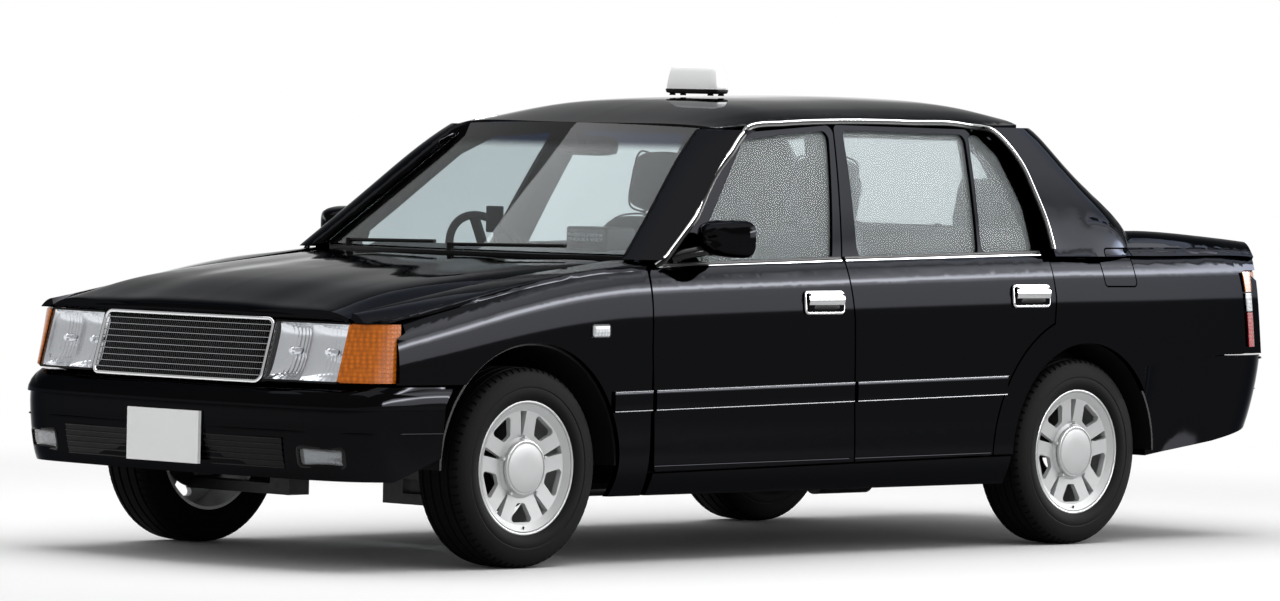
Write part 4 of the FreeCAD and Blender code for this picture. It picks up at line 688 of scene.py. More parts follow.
finishes = {
    "paint": makeBlackPaint(),
    "chrome": makeMetal("brightChrome", (0.86, 0.87, 0.88), 0.06),
    "silver": grain(
        newMaterial("silverWheelPaint", (0.47, 0.475, 0.48), 0.34, 0.1, Specular_IOR_Level=0.1),
        1200, 0.05, 0.08, distance=0.0003,
    ),
    "trimChrome": makeMetal("softChrome", (0.40, 0.405, 0.41), 0.10),
    "dimReflector": makeMetal("fogReflector", (0.22, 0.225, 0.23), 0.25, 0.05, 120),
    "darkLine": makeMetal("darkBrightLine", (0.045, 0.046, 0.048), 0.2),
    # Brake disc iron, far darker than bare iron: partly its own dark colour, partly painted shade for the
    # inside of the wheel seen through the rim's openings
    "discIronShaded": makePlastic("brakeIronShaded", (0.014, 0.013, 0.013), 0.6, 120, 0.3, 0.05),
    "screen": makePlastic("displayGlass", (0.012, 0.014, 0.018), 0.08, 50, 0.0, 0.5),
    "buttons": makePlastic("softButtons", (0.20, 0.205, 0.21), 0.5, 500, 0.1),
    "screenGlass": makeScreenGlass(
        "screenGlass", (0.76, 0.85, 0.87), (0.002, 0.014, 0.045), 1.312, 1.345,
    ),
    "steel": makeMetal("darkSteel", (0.05, 0.05, 0.052), 0.5, 0.2, 60),
    "underbody": makePlastic("underbodyCoat", (0.003, 0.003, 0.003), 0.85, 90, 0.6, 0.02),
    "trimBlack": makePlastic("blackTrim", (0.005, 0.005, 0.0055), 0.42, 900, 0.15, 0.1),
    "rubber": makePlastic("tyreRubber", (0.0045, 0.0045, 0.005), 0.7, 400, 0.25, 0.03),
    "dash": makePlastic("dashVinyl", (0.035, 0.036, 0.04), 0.6),
    "seatCloth": makeFabric("seatCloth", (0.030, 0.031, 0.035)),
    "clearGlass": makeGlass("windowGlass", (0.70, 0.745, 0.755), ior=1.08, weight=0.89),
    "lampGlass": makeGlass("lampLens", (0.97, 0.98, 1.0)),
    "amber": makeLens("amberLens", (0.56, 0.135, 0.003)),
    "red": makeLens("redLens", (0.42, 0.006, 0.008)),
    "clearLens": makeLens("clearPrismLens", (0.62, 0.64, 0.66)),
    "white": makePlastic("whiteLampPlastic", (0.93, 0.935, 0.94), 0.3, 500, 0.05),
    "plateWhite": makePlastic("platePaint", (0.84, 0.85, 0.85), 0.4, 300, 0.04),
    "slat": makeMetal("grilleSlatMetal", (0.36, 0.37, 0.385), 0.2),
    "mesh": makeMetal("grilleMeshMetal", (0.10, 0.10, 0.105), 0.35),
    "reflector": makeMetal("lampReflector", (0.93, 0.94, 0.95), 0.18, 0.03, 120),
    "trimGloss": makePlastic("glossTrim", (0.006, 0.006, 0.0065), 0.16, 700, 0.04, 0.16),
    "fogGlass": makeGlass("fogLens", (0.93, 0.95, 0.97), 0.08),
    "mirrorFace": makeMetal("mirrorSilver", (0.92, 0.93, 0.94), 0.02, 0.0),
}
print("finishes ready")


# Studio
studio = {
    "floorColour": (0.88, 0.88, 0.88), "floorSize": 90.0, "fadeStart": 3.2, "fadeEnd": 6.5,
    "worldLight": 0.55, "worldSeen": 1.0, "ceilingSeen": 0.42, "zenithSeen": 0.5,
}


def seenByEye(tree):
    # One for rays from the camera, from mirrors and through glass
    path = tree.nodes.new("ShaderNodeLightPath")
    first = tree.nodes.new("ShaderNodeMath")
    second = tree.nodes.new("ShaderNodeMath")
    first.operation = second.operation = "MAXIMUM"
    tree.links.new(path.outputs["Is Camera Ray"], first.inputs[0])
    tree.links.new(path.outputs["Is Glossy Ray"], first.inputs[1])
    tree.links.new(first.outputs[0], second.inputs[0])
    tree.links.new(path.outputs["Is Transmission Ray"], second.inputs[1])
    return second.outputs[0]


def makeFloor(setup):
    size = setup["floorSize"] / 2
    work = bmesh.new()
    square = ((-1, -1), (1, -1), (1, 1), (-1, 1))
    corners = [work.verts.new((x * size, y * size, 0)) for x, y in square]
    work.faces.new(corners)
    floor = pieceFrom(work, "studioFloor")
    material = newMaterial("studioFloorPaint", setup["floorColour"], 0.8, 0.0, Specular_IOR_Level=0.1)
    grain(material, 3, 0.01, 0.05)
    tree = material.node_tree
    shader = tree.nodes["Principled BSDF"]
    out = tree.nodes["Material Output"]
    glow = tree.nodes.new("ShaderNodeEmission")
    glow.inputs["Color"].default_value = (1, 1, 1, 1)
    glow.inputs["Strength"].default_value = 1.0
    place = tree.nodes.new("ShaderNodeTexCoord")
    length = tree.nodes.new("ShaderNodeVectorMath")
    length.operation = "LENGTH"
    fade = tree.nodes.new("ShaderNodeMapRange")
    fade.interpolation_type = "SMOOTHSTEP"
    fade.inputs["From Min"].default_value = setup["fadeStart"]
    fade.inputs["From Max"].default_value = setup["fadeEnd"]
    both = tree.nodes.new("ShaderNodeMath")
    both.operation = "MULTIPLY"
    mix = tree.nodes.new("ShaderNodeMixShader")
    tree.links.new(place.outputs["Object"], length.inputs[0])
    tree.links.new(length.outputs["Value"], fade.inputs["Value"])
    tree.links.new(fade.outputs["Result"], both.inputs[0])
    tree.links.new(seenByEye(tree), both.inputs[1])
    tree.links.new(both.outputs[0], mix.inputs[0])
    tree.links.new(shader.outputs[0], mix.inputs[1])
    tree.links.new(glow.outputs[0], mix.inputs[2])
    tree.links.new(mix.outputs[0], out.inputs["Surface"])
    floor.data.materials.append(material)


def makeWorld(setup):
    # White round the horizon, dimmer overhead
    world = bpy.data.worlds.new("studioWorld")
    scene.world = world
    world.use_nodes = True
    tree = world.node_tree
    tree.nodes.clear()
    out = tree.nodes.new("ShaderNodeOutputWorld")
    dim = tree.nodes.new("ShaderNodeBackground")
    seen = tree.nodes.new("ShaderNodeBackground")
    dim.inputs["Color"].default_value = (1, 1, 1, 1)
    dim.inputs["Strength"].default_value = setup["worldLight"]
    seen.inputs["Strength"].default_value = setup["worldSeen"]
    place = tree.nodes.new("ShaderNodeTexCoord")
    parts = tree.nodes.new("ShaderNodeSeparateXYZ")
    ramp = tree.nodes.new("ShaderNodeValToRGB")
    low, high = ramp.color_ramp.elements
    low.position, high.position = 0.05, 1.0
    low.color = (1, 1, 1, 1)
    high.color = (*[setup["zenithSeen"]] * 3, 1)
    ramp.color_ramp.elements.new(0.16).color = (*[setup["ceilingSeen"]] * 3, 1)
    mix = tree.nodes.new("ShaderNodeMixShader")
    tree.links.new(place.outputs["Generated"], parts.inputs[0])
    tree.links.new(parts.outputs["Z"], ramp.inputs["Fac"])
    tree.links.new(ramp.outputs["Color"], seen.inputs["Color"])
    tree.links.new(seenByEye(tree), mix.inputs[0])
    tree.links.new(dim.outputs[0], mix.inputs[1])
    tree.links.new(seen.outputs[0], mix.inputs[2])
    tree.links.new(mix.outputs[0], out.inputs[0])


def fadeLamp(data, stops):
    # Brightness that changes from the lamp's lower edge to its upper one
    data.use_nodes = True
    tree = data.node_tree
    glow = tree.nodes["Emission"]
    place = tree.nodes.new("ShaderNodeNewGeometry")
    parts = tree.nodes.new("ShaderNodeSeparateXYZ")
    ramp = tree.nodes.new("ShaderNodeValToRGB")
    first, last = ramp.color_ramp.elements
    first.position, last.position = stops[0][0], stops[-1][0]
    first.color, last.color = (*[stops[0][1]] * 3, 1), (*[stops[-1][1]] * 3, 1)
    for share, level in stops[1:-1]:
        ramp.color_ramp.elements.new(share).color = (level, level, level, 1)
    tree.links.new(place.outputs["Parametric"], parts.inputs[0])
    tree.links.new(parts.outputs["Y"], ramp.inputs["Fac"])
    tree.links.new(ramp.outputs["Color"], glow.inputs["Color"])


def makeLamp(name, place, target, size, power, mirrorOnly=False, stops=None):
    data = bpy.data.lights.new(name, "AREA")
    data.shape, data.size, data.size_y = "RECTANGLE", size[0], size[1]
    data.energy = power
    lamp = bpy.data.objects.new(name, data)
    scene.collection.objects.link(lamp)
    lamp.location = place
    lamp.rotation_euler = (Vector(target) - Vector(place)).to_track_quat("-Z", "Y").to_euler()
    if mirrorOnly:
        lamp.visible_diffuse = False
    if stops:
        fadeLamp(data, stops)
    return lamp


makeFloor(studio)
makeWorld(studio)
makeLamp("overheadSoftbox", (0, 0, 6.0), (0, 0, 0), (9, 7), 420)
sideFade = [
    (0.0, 0.0), (0.02, 0.10), (0.42, 0.12), (0.52, 0.32), (0.60, 1.0), (0.66, 0.95), (0.76, 0.30),
    (0.88, 0.16), (1.0, 0.02),
]
makeLamp("sideStrip", (11.2, 10.0, 4.55), (0.9, -0.5, 4.55), (27, 6.1), 40000, True, sideFade)
upperFade = [(0.0, 0.0), (0.25, 0.7), (0.6, 1.0), (1.0, 0.1)]
makeLamp("upperCloud", (6.5, 8.5, 8.2), (0.5, 0.5, 1.0), (16, 7), 4200, True, upperFade)
print("studio ready")

# Painted body
paintedPanels = {
    "front_door_left": ["side", "cabin"], "front_door_right": ["side", "cabin"],
    "rear_door_left": ["side", "cabin"], "rear_door_right": ["side", "cabin"],
    "front_fenders": ["side", "fenderTop"], "bonnet": ["hood"], "roof_panel": ["roof"],
    "rear_quarters": ["side", "cabin", "quarterTop", "tail"], "boot_lid": ["deck", "tail"],
    "side_frames": ["side", "cabin"], "front_pillars": [], "rear_panel": ["tail"],
    "fuel_flap": ["side"], "front_bumper": [], "rear_bumper": [],
}
for node, names in paintedPanels.items():
    panel = smoothCopy(node, names)
    panel.data.materials.append(finishes["paint"])
print("painted body ready")

cadFinishes = {
    "clearGlass": [
        "front_door_glass_left", "front_door_glass_right", "rear_door_glass_left",
        "rear_door_glass_right", "rear_window",
    ],
    "screenGlass": ["windscreen"],
    "amber": ["corner_lamps"],
    "red": ["tail_lamps"], "plateWhite": ["front_plate", "rear_plate"],
    "trimBlack": ["wipers", "cowl_panel", "wheel_liners", "steering_wheel"],
    "dash": ["dashboard"],
    "underbody": ["floor_pan", "engine_bay", "fuel_tank"],
    "steel": ["engine_block", "exhaust", "front_suspension", "rear_axle", "knuckle_left", "knuckle_right"],
    "silver": ["rim_front_left", "rim_front_right", "rim_rear_left", "rim_rear_right"],
}
for finish, nodes in cadFinishes.items():
    for node in nodes:
        mesh = frame["nodes"][node].data
        mesh.materials.clear()
        mesh.materials.append(finishes[finish])
print("plain pieces finished")

# Nose: rows of points on its face, with how far they stand out
def nosePoint(x, z, out=0.0):
    return Vector((x, float(noseY(x, z)) - out, z))


def roundedLoop(x0, x1, z0, z1, radius, steps=6):
    # Points round a rectangle with round corners, in X and Z
    loop = []
    for cx, cz, start in (
        (x1 - radius, z1 - radius, 0), (x0 + radius, z1 - radius, 90),
        (x0 + radius, z0 + radius, 180), (x1 - radius, z0 + radius, 270),
    ):
        for k in range(steps + 1):
            turn = math.radians(start + 90 * k / steps)
            loop.append((cx + radius * math.cos(turn), cz + radius * math.sin(turn)))
    dense = []
    for (a, b), (c, d) in zip(loop, loop[1:] + loop[:1]):
        parts = max(1, int(math.hypot(c - a, d - b) / 0.03))
        dense += [(a + (c - a) * k / parts, b + (d - b) * k / parts) for k in range(parts)]
    return dense


grille = {
    "half": 0.388, "low": 0.580, "high": 0.775, "corner": 0.026, "surround": 0.0058,
    "slats": 9, "slatHeight": 0.0022, "slatSet": 0.010, "ribs": 84, "ribSet": 0.018, "shadeSheetSet": 0.030,
}


def makeGrille(setup):
    loop = roundedLoop(-setup["half"], setup["half"], setup["low"], setup["high"], setup["corner"])
    path = [nosePoint(x, z, 0.001) for x, z in loop]
    ring = sweep(path, (0, -1, 0), roundBar(setup["surround"], 0.8, 12), "grilleSurround", True)
    dress(ring, "chrome", "car_body", "grille")
    slats = []
    for z in spaced(setup["low"], setup["high"], setup["slats"] + 2)[1:-1]:
        across = [nosePoint(x, z, -setup["slatSet"]) for x in spaced(-setup["half"], setup["half"], 25)]
        tall = setup["slatHeight"]
        profile = [(0.006, -0.0008), (0.006, 0.0008), (-0.006, tall), (-0.006, -tall)]
        slats.append(sweep(across, (0, -1, 0), profile, "grilleSlat", smooth=False))
    dress(joinPieces(slats, "grilleSlats"), "slat", "car_body")
    ribs = []
    for x in spaced(-setup["half"], setup["half"], setup["ribs"]):
        path = [nosePoint(x, z, -setup["ribSet"]) for z in spaced(setup["low"], setup["high"], 4)]
        ribs.append(sweep(path, (0, -1, 0), roundBar(0.0011, 1.6, 4), "grilleRib", smooth=False))
    dress(joinPieces(ribs, "grilleRibs"), "mesh", "car_body")
    # Black sheet behind the ribs: painted shade for the dark depth behind the grille
    back = sheet([
        [nosePoint(x, z, -setup["shadeSheetSet"]) for x in spaced(-setup["half"], setup["half"], 13)]
        for z in spaced(setup["low"], setup["high"], 4)
    ], "grilleShadeSheet", 0.003)
    dress(back, "trimBlack", "car_body")


makeGrille(grille)

headlamp = {
    "inner": 0.397, "outer": 0.6885, "low": 0.590, "high": 0.768, "glass": 0.0035,
    "bowls": [(0.462, 0.070), (0.606, 0.074)], "edgeDepth": 0.010, "bowlDepth": 0.056, "flute": 0.0014,
}


def bowlDepth(setup, x, z):
    middle, reach = (setup["low"] + setup["high"]) / 2, (setup["high"] - setup["low"]) / 2
    deep = 0.0
    for centre, width in setup["bowls"]:
        hollow = (1 - ((x - centre) / width) ** 2) * (1 - ((z - middle) / reach) ** 4)
        deep = max(deep, math.sqrt(max(hollow, 0)))
    flute = setup["flute"] * math.sin(x * 2 * math.pi / 0.014)
    return setup["edgeDepth"] + setup["bowlDepth"] * deep + flute * (deep > 0.2)


def makeHeadlamp(setup):
    low, high = setup["low"], setup["high"]
    xs, zs = spaced(setup["inner"], setup["outer"], 61), spaced(low, high, 25)
    lensRows = [[nosePoint(x, z, 0.001) for x in xs[::3]] for z in zs[::3]]
    lens = sheet(lensRows, "headlampGlass", setup["glass"])
    bowl = sheet([[nosePoint(x, z, -bowlDepth(setup, x, z)) for x in xs] for z in zs], "headlampBowl")
    loop = roundedLoop(setup["inner"] - 0.003, setup["outer"] + 0.002, low - 0.003, high + 0.002, 0.008)
    path = [nosePoint(x, z, 0.0) for x, z in loop]
    rim = sweep(path, (0, -1, 0), roundBar(0.0035, 1.0, 8), "headlampRim", True)
    caps = []
    middle = (low + high) / 2
    for centre, width in setup["bowls"]:
        y = float(noseY(centre, middle)) + setup["edgeDepth"] + setup["bowlDepth"] * 0.45
        profile = [(-0.016, 0.0), (-0.015, 0.008), (-0.008, 0.013), (0.020, 0.013), (0.026, 0.010)]
        caps.append(lathe(profile, (centre, y, middle), "headlampCap", "Y", 24))
    cap = joinPieces(caps, "headlampCaps")
    return [(lens, "lampGlass"), (bowl, "reflector"), (rim, "trimBlack"), (cap, "chrome")]


for piece, finish in makeHeadlamp(headlamp):
    other = mirroredCopy(piece, piece.name + "Right")
    dress(piece, finish, "car_body", "headlamps")
    dress(other, finish, "car_body", "headlamps")
print("grille and headlamps ready")


# Bumpers: how each is tucked in over its height, and the way it faces
bumpers = {
    "bumperFront": {"tuck": "bumperTuck", "low": 0.283, "rise": 0.293, "way": -1},
    "bumperRear": {"tuck": "rearTuck", "low": 0.343, "rise": 0.297, "way": 1},
}
bumperEnd = 0.991


def bumperPoint(name, x, z, out=0.0):
    # A place on a bumper's face, so far out, and the way the face looks there
    bumper = bumpers[name]
    way, share, step = bumper["way"], abs(x) / half["width"], 0.004
    tuck = along(bumper["tuck"], (z - bumper["low"]) / bumper["rise"])

    def depth(place):
        return float(along(name, place) * half["length"] * tuck)

    last, first = min(share + step, bumperEnd), max(share - step, 0)
    slope = (depth(last) - depth(first)) / ((last - first) * half["width"])
    normal = Vector((-slope * math.copysign(1, x) * way, way, 0)).normalized()
    return Vector((x, depth(share), z)) + normal * out, normal


def bumperXs(reach, count):
    # Denser towards the corners
    return [math.copysign(1 - (1 - abs(t)) ** 1.8, t) * reach for t in spaced(-1, 1, count)]


frontBumper = {
    "reach": 0.838, "upper": [
        (0.503, 0.0005), (0.504, 0.005), (0.508, 0.007), (0.522, 0.0075), (0.542, 0.0075),
        (0.555, 0.0062), (0.564, 0.0035), (0.571, -0.001),
    ],
    "ridge": 0.432, "intake": (-0.50, 0.50, 0.318, 0.408),
    "fog": (0.560, 0.721, 0.326, 0.386),
}


def makeFrontBumper(setup):
    xs = bumperXs(setup["reach"], 81)
    rows = [[bumperPoint("bumperFront", x, z, out)[0] for x in xs] for z, out in setup["upper"]]
    dress(sheet(rows, "frontBumperUpper", 0.004), "paint", "car_body")
    points = [bumperPoint("bumperFront", x, setup["ridge"], 0.0) for x in xs]
    ridge = sweepFacing(points, roundBar(0.0028, 0.9, 8), "frontBumperRidge")
    dress(ridge, "paint", "car_body")
    # Black sheet on the solid bumper: black intake trim, and painted shade where the intake's opening would
    # be deep
    x0, x1, z0, z1 = setup["intake"]
    across = spaced(x0, x1, 31)
    rows = [[bumperPoint("bumperFront", x, z, 0.0012)[0] for x in across] for z in spaced(z0, z1, 5)]
    dress(sheet(rows, "frontIntake", 0.001), "trimBlack", "car_body")
    louvres = []
    for z in spaced(z0, z1, 6):
        points = [bumperPoint("bumperFront", x, z, 0.0012) for x in across]
        louvres.append(sweepFacing(points, roundBar(0.003, 0.9, 8), "louvre"))
    dress(joinPieces(louvres, "frontIntakeLouvres"), "trimGloss", "car_body")


def makeFogLamp(setup):
    x0, x1, z0, z1 = setup["fog"]
    loop = roundedLoop(x0, x1, z0, z1, 0.012)
    points = [bumperPoint("bumperFront", x, z, 0.0) for x, z in loop]
    surround = sweepFacing(points, roundBar(0.006, 0.7, 10), "fogFrame", True)
    xs, zs = spaced(x0 + 0.004, x1 - 0.004, 31), spaced(z0 + 0.004, z1 - 0.004, 13)
    lensRows = [[bumperPoint("bumperFront", x, z, -0.001)[0] for x in xs] for z in zs]
    lens = sheet(lensRows, "fogGlass", 0.003)
    rows = []
    for z in zs:
        row = []
        for x in xs:
            u = (x - (x0 + x1) / 2) / ((x1 - x0) / 2)
            v = (z - (z0 + z1) / 2) / ((z1 - z0) / 2)
            deep = 0.006 + 0.030 * math.sqrt(max(0, (1 - u * u) * (1 - v ** 4)))
            row.append(bumperPoint("bumperFront", x, z, -deep)[0])
        rows.append(row)
    bowl = sheet(rows, "fogBowl")
    return [(surround, "trimGloss"), (lens, "fogGlass"), (bowl, "dimReflector")]


makeFrontBumper(frontBumper)
for piece, finish in makeFogLamp(frontBumper):
    other = mirroredCopy(piece, piece.name + "Right")
    dress(piece, finish, "car_body", "fog_lamps")
    dress(other, finish, "car_body", "fog_lamps")
print("front bumper ready")

# Sides: a place on the body side or on the cabin, with the way it faces
def facePoint(surface, y, z, out=0.0):
    x = float(sideX(y, z) if surface == "side" else cabinX(y, z))
    way = Vector(facing(surface, np.array([[x, y, z]]))[0]).normalized()
    return Vector((x, y, z)) + way * out, way


def curveThrough(points, count):
    # Smooth run of points through the given ones
    points = np.array(points, float)
    reach = np.r_[0, np.cumsum(np.linalg.norm(np.diff(points, axis=0), axis=1))]
    slopes = np.gradient(points, reach, axis=0)
    run = []
    for t in np.linspace(0, reach[-1], count):
        k = min(int(np.searchsorted(reach, t, side="right")) - 1, len(reach) - 2)
        span = reach[k + 1] - reach[k]
        u = (t - reach[k]) / span
        run.append(
            points[k] * (2 * u ** 3 - 3 * u * u + 1) + points[k + 1] * (3 * u * u - 2 * u ** 3)
            + slopes[k] * span * (u ** 3 - 2 * u * u + u) + slopes[k + 1] * span * (u ** 3 - u * u)
        )
    return run


def sideRun(surface, stops, count, out=0.0):
    # Points along (y, z) stops on a surface, and the way each faces
    pairs = [facePoint(surface, float(y), float(z), out) for y, z in curveThrough(stops, count)]
    return [p for p, n in pairs], [n for p, n in pairs]


def onBothSides(piece, finish, body, *nodes):
    # body and nodes end in left, or are the same for both sides
    other = mirroredCopy(piece, piece.name + "Right")
    dress(piece, finish, body)
    dress(other, finish, body.replace("left", "right"))
    for node in nodes:
        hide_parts(node)
        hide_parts(node.replace("left", "right"))


moulding = {
    "ends": [
        (-1.134, -0.962, "car_body"), (-0.944, -0.003, "front_door_body_left"),
        (0.015, 0.765, "rear_door_body_left"),
    ],
    "low": (0.485, 0.516), "high": (0.555, 0.585), "from": -1.134, "to": 0.765, "out": 0.0095,
    "bright": 0.0024,
}


def makeMouldings(setup):
    def level(pair, y):
        return pair[0] + (pair[1] - pair[0]) * (y - setup["from"]) / (setup["to"] - setup["from"])

    out, tall = setup["out"], 0.034
    profile = [
        (-0.003, -tall), (out * 0.6, -tall), (out * 0.93, -tall + 0.004), (out, -tall + 0.012),
        (out, tall - 0.012), (out * 0.93, tall - 0.004), (out * 0.6, tall), (-0.003, tall),
    ]
    for start, end, body in setup["ends"]:
        ys = spaced(start, end, 13)
        levels = [(level(setup["low"], y) + level(setup["high"], y)) / 2 for y in ys]
        middle = [facePoint("side", y, z) for y, z in zip(ys, levels)]
        slab = sweepFacing(middle, profile, "sideMoulding")
        onBothSides(slab, "paint", body)
        lines = []
        for pair, shift in ((setup["low"], 0.004), (setup["high"], -0.004)):
            run = [facePoint("side", y, level(pair, y) + shift, out * 0.85) for y in ys]
            lines.append(sweepFacing(run, roundBar(setup["bright"], 0.9, 8), "mouldingLine"))
        onBothSides(joinPieces(lines, "mouldingLines"), "darkLine", body)


makeMouldings(moulding)

handles = {
    "front": (-0.2435, -0.0605, 0.799, 0.866, "front_door_body_left"),
    "rear": (0.7935, 0.9765, 0.817, 0.884, "rear_door_body_left"), "out": 0.0185,
}


def makeHandle(y0, y1, z0, z1, body, reach):
    loop = roundedLoop(y0, y1, z0, z1, 0.012)
    pairs = [facePoint("side", y, z, 0.004) for y, z in loop]
    surround = sweepFacing(pairs, roundBar(0.0055, 0.9, 10), "handleFrame", True)
    onBothSides(surround, "trimChrome", body)
    cup = []
    for z in spaced(z0, z1, 9):
        row = []
        for y in spaced(y0, y1, 17):
            u, v = (2 * y - y0 - y1) / (y1 - y0), (2 * z - z0 - z1) / (z1 - z0)
            row.append(facePoint("side", y, z, 0.0172 - 0.012 * max(u * u, v * v) ** 2)[0])
        cup.append(row)
    onBothSides(sheet(cup, "handleCup", 0.002), "trimBlack", body)
    edge = z0 + (z1 - z0) * 0.38
    rows = []
    for t in spaced(0, 1, 11):
        z = edge + (z1 - 0.004 - edge) * t
        swell = reach + 0.0045 * math.sin(math.pi * min(t * 1.15, 1))
        rows.append([
            facePoint("side", y, z, swell - 0.006 * abs((2 * y - y0 - y1) / (y1 - y0)) ** 8)[0]
            for y in spaced(y0 + 0.006, y1 - 0.006, 21)
        ])
    onBothSides(sheet(rows, "handlePull", 0.004), "trimChrome", body)


for place in ("front", "rear"):
    makeHandle(*handles[place], handles["out"])


def beltLevel(y):
    return float(np.interp(y, [-0.93, 0.0, 0.97], [0.943, 0.967, 0.987]))


def makeBelts():
    for y0, y1, body in (
        (-0.905, -0.030, "front_door_body_left"), (-0.010, 0.975, "rear_door_body_left"),
    ):
        ys = spaced(y0, y1, 31)
        run = [facePoint("cabin", y, beltLevel(y), 0.006) for y in ys]
        strip = sweepFacing(run, roundBar(0.0048, 0.7, 10), "beltStrip")
        onBothSides(strip, "trimChrome", body)
        run = [facePoint("cabin", y, beltLevel(y) + 0.010, 0.003) for y in ys]
        seal = sweepFacing(run, roundBar(0.0055, 0.7, 8), "beltSeal")
        onBothSides(seal, "trimBlack", body)


makeBelts()

dripStops = [
    (-0.925, 0.958), (-0.668, 1.146), (-0.448, 1.331), (-0.375, 1.381), (-0.300, 1.406),
    (-0.120, 1.421), (0.141, 1.431), (0.500, 1.432), (0.780, 1.426), (0.862, 1.412),
    (0.916, 1.368), (0.964, 1.296), (0.990, 1.200), (1.010, 1.100), (1.012, 1.010),
]


def outerFaces(nodes):
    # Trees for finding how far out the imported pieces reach
    trees = []
    for node in nodes:
        mesh = frame["nodes"][node].data
        shape = frame["nodes"][node].matrix_world
        points = [shape @ v.co for v in mesh.vertices]
        trees.append(BVHTree.FromPolygons(points, [list(f.vertices) for f in mesh.polygons]))
    return trees


def outerX(trees, y, z, fallback):
    hits = [tree.ray_cast(Vector((1.2, y, z)), Vector((-1, 0, 0)), 0.9) for tree in trees]
    found = [hit[0].x for hit in hits if hit[0]]
    return max([x for x in found if abs(x - fallback) < 0.06] + [fallback])


def makeDrips():
    trees = outerFaces(["front_pillars", "side_frames", "roof_panel", "rear_quarters"])
    points, ways = sideRun("cabin", dripStops, 110)
    reach = [outerX(trees, p.y, p.z, p.x) for p in points]
    last = len(reach) - 1
    for turn in range(6):
        reach = [
            max(x, (reach[max(k - 1, 0)] + x + reach[min(k + 1, last)]) / 3)
            for k, x in enumerate(reach)
        ]
    points = [Vector((x + 0.0015, p.y, p.z)) for x, p in zip(reach, points)]
    strip = sweep(points, ways, roundBar(0.0044, 0.9, 10), "dripStrip")
    onBothSides(strip, "trimChrome", "car_body")
    profile = [(a - 0.002, b + 0.0105) for a, b in roundBar(0.0062, 0.8, 8)]
    seal = sweep(points, ways, profile, "dripSeal")
    onBothSides(seal, "trimBlack", "car_body")


makeDrips()


def makeRepeater():
    y0, y1, z0, z1 = -1.239, -1.159, 0.727, 0.766
    rows = []
    for z in spaced(z0, z1, 11):
        row = []
        for y in spaced(y0, y1, 17):
            u, v = (2 * y - y0 - y1) / (y1 - y0), (2 * z - z0 - z1) / (z1 - z0)
            row.append(facePoint("side", y, z, 0.0105 * max(0, (1 - u ** 4) * (1 - v ** 4)) ** 0.5)[0])
        rows.append(row)
    onBothSides(sheet(rows, "repeaterLens", 0.001), "clearLens", "car_body")
    pairs = [facePoint("side", y, z, 0.0015) for y, z in roundedLoop(y0, y1, z0, z1, 0.01)]
    seat = sweepFacing(pairs, roundBar(0.003, 0.8, 8), "repeaterSeat", True)
    onBothSides(seat, "trimBlack", "car_body")


makeRepeater()


def loft(rings, name, smooth=True):
    # Closed form through rings of points, with ends
    work = bmesh.new()
    grid = [[work.verts.new(p) for p in ring] for ring in rings]
    size = len(rings[0])
    for one, two in zip(grid, grid[1:]):
        for k in range(size):
            work.faces.new((one[k], one[(k + 1) % size], two[(k + 1) % size], two[k]))
    work.faces.new(grid[0][::-1])
    work.faces.new(grid[-1])
    return pieceFrom(work, name, smooth)


def superRing(count, power):
    # Round-cornered unit ring
    ring = []
    for k in range(count):
        c, s = math.cos(2 * math.pi * k / count), math.sin(2 * math.pi * k / count)
        ring.append((math.copysign(abs(c) ** (2 / power), c), math.copysign(abs(s) ** (2 / power), s)))
    return ring


mirror = {
    "centre": (0.889, 1.041), "shell": [
        (-0.638, 0.086, 0.052), (-0.634, 0.092, 0.058), (-0.636, 0.096, 0.0615),
        (-0.650, 0.098, 0.0625), (-0.680, 0.096, 0.060), (-0.710, 0.090, 0.055),
        (-0.735, 0.078, 0.047), (-0.752, 0.060, 0.036), (-0.762, 0.034, 0.021),
        (-0.765, 0.010, 0.007),
    ],
    "arm": [
        (0.800, -0.835, 0.975), (0.815, -0.815, 0.985), (0.835, -0.775, 0.995),
        (0.850, -0.730, 1.003), (0.858, -0.700, 1.010),
    ],
}


def makeMirror(setup):
    cx, cz = setup["centre"]
    rings = []
    for y, w, h in setup["shell"]:
        lean = (y + 0.636) * 0.12
        rings.append([
            Vector((cx + lean + u * w, y + 0.02 * u * u * (y < -0.66), cz + v * h))
            for u, v in superRing(48, 3.6)
        ])
    onBothSides(loft(rings, "mirrorShell"), "paint", "front_door_body_left", "door_mirror_left")
    face = []
    for v in spaced(-1, 1, 9):
        face.append([
            Vector((cx + u * 0.083 * (1 - 0.10 * v ** 4), -0.6355, cz + v * 0.049 * (1 - 0.10 * u ** 4)))
            for u in spaced(-1, 1, 13)
        ])
    onBothSides(sheet(face, "mirrorGlass", 0.002), "mirrorFace", "front_door_body_left")
    arm = sweep(curveThrough(setup["arm"], 15), (0, 0, 1), roundBar(0.022, 0.8, 14), "mirrorArm")
    onBothSides(arm, "trimGloss", "front_door_body_left")
    foot = []
    for t in spaced(0, 1, 9):
        z = 0.960 + 0.062 * t
        y0, y1 = -0.893 + 0.075 * t, -0.790 - 0.015 * t
        foot.append([
            facePoint("cabin", y, z, 0.009 - 0.006 * abs(2 * k - 1) ** 6)[0]
            for k, y in zip(spaced(0, 1, 7), spaced(y0, y1, 7))
        ])
    onBothSides(sheet(foot, "mirrorFoot", 0.006), "trimGloss", "front_door_body_left")


makeMirror(mirror)
print("side trims ready")


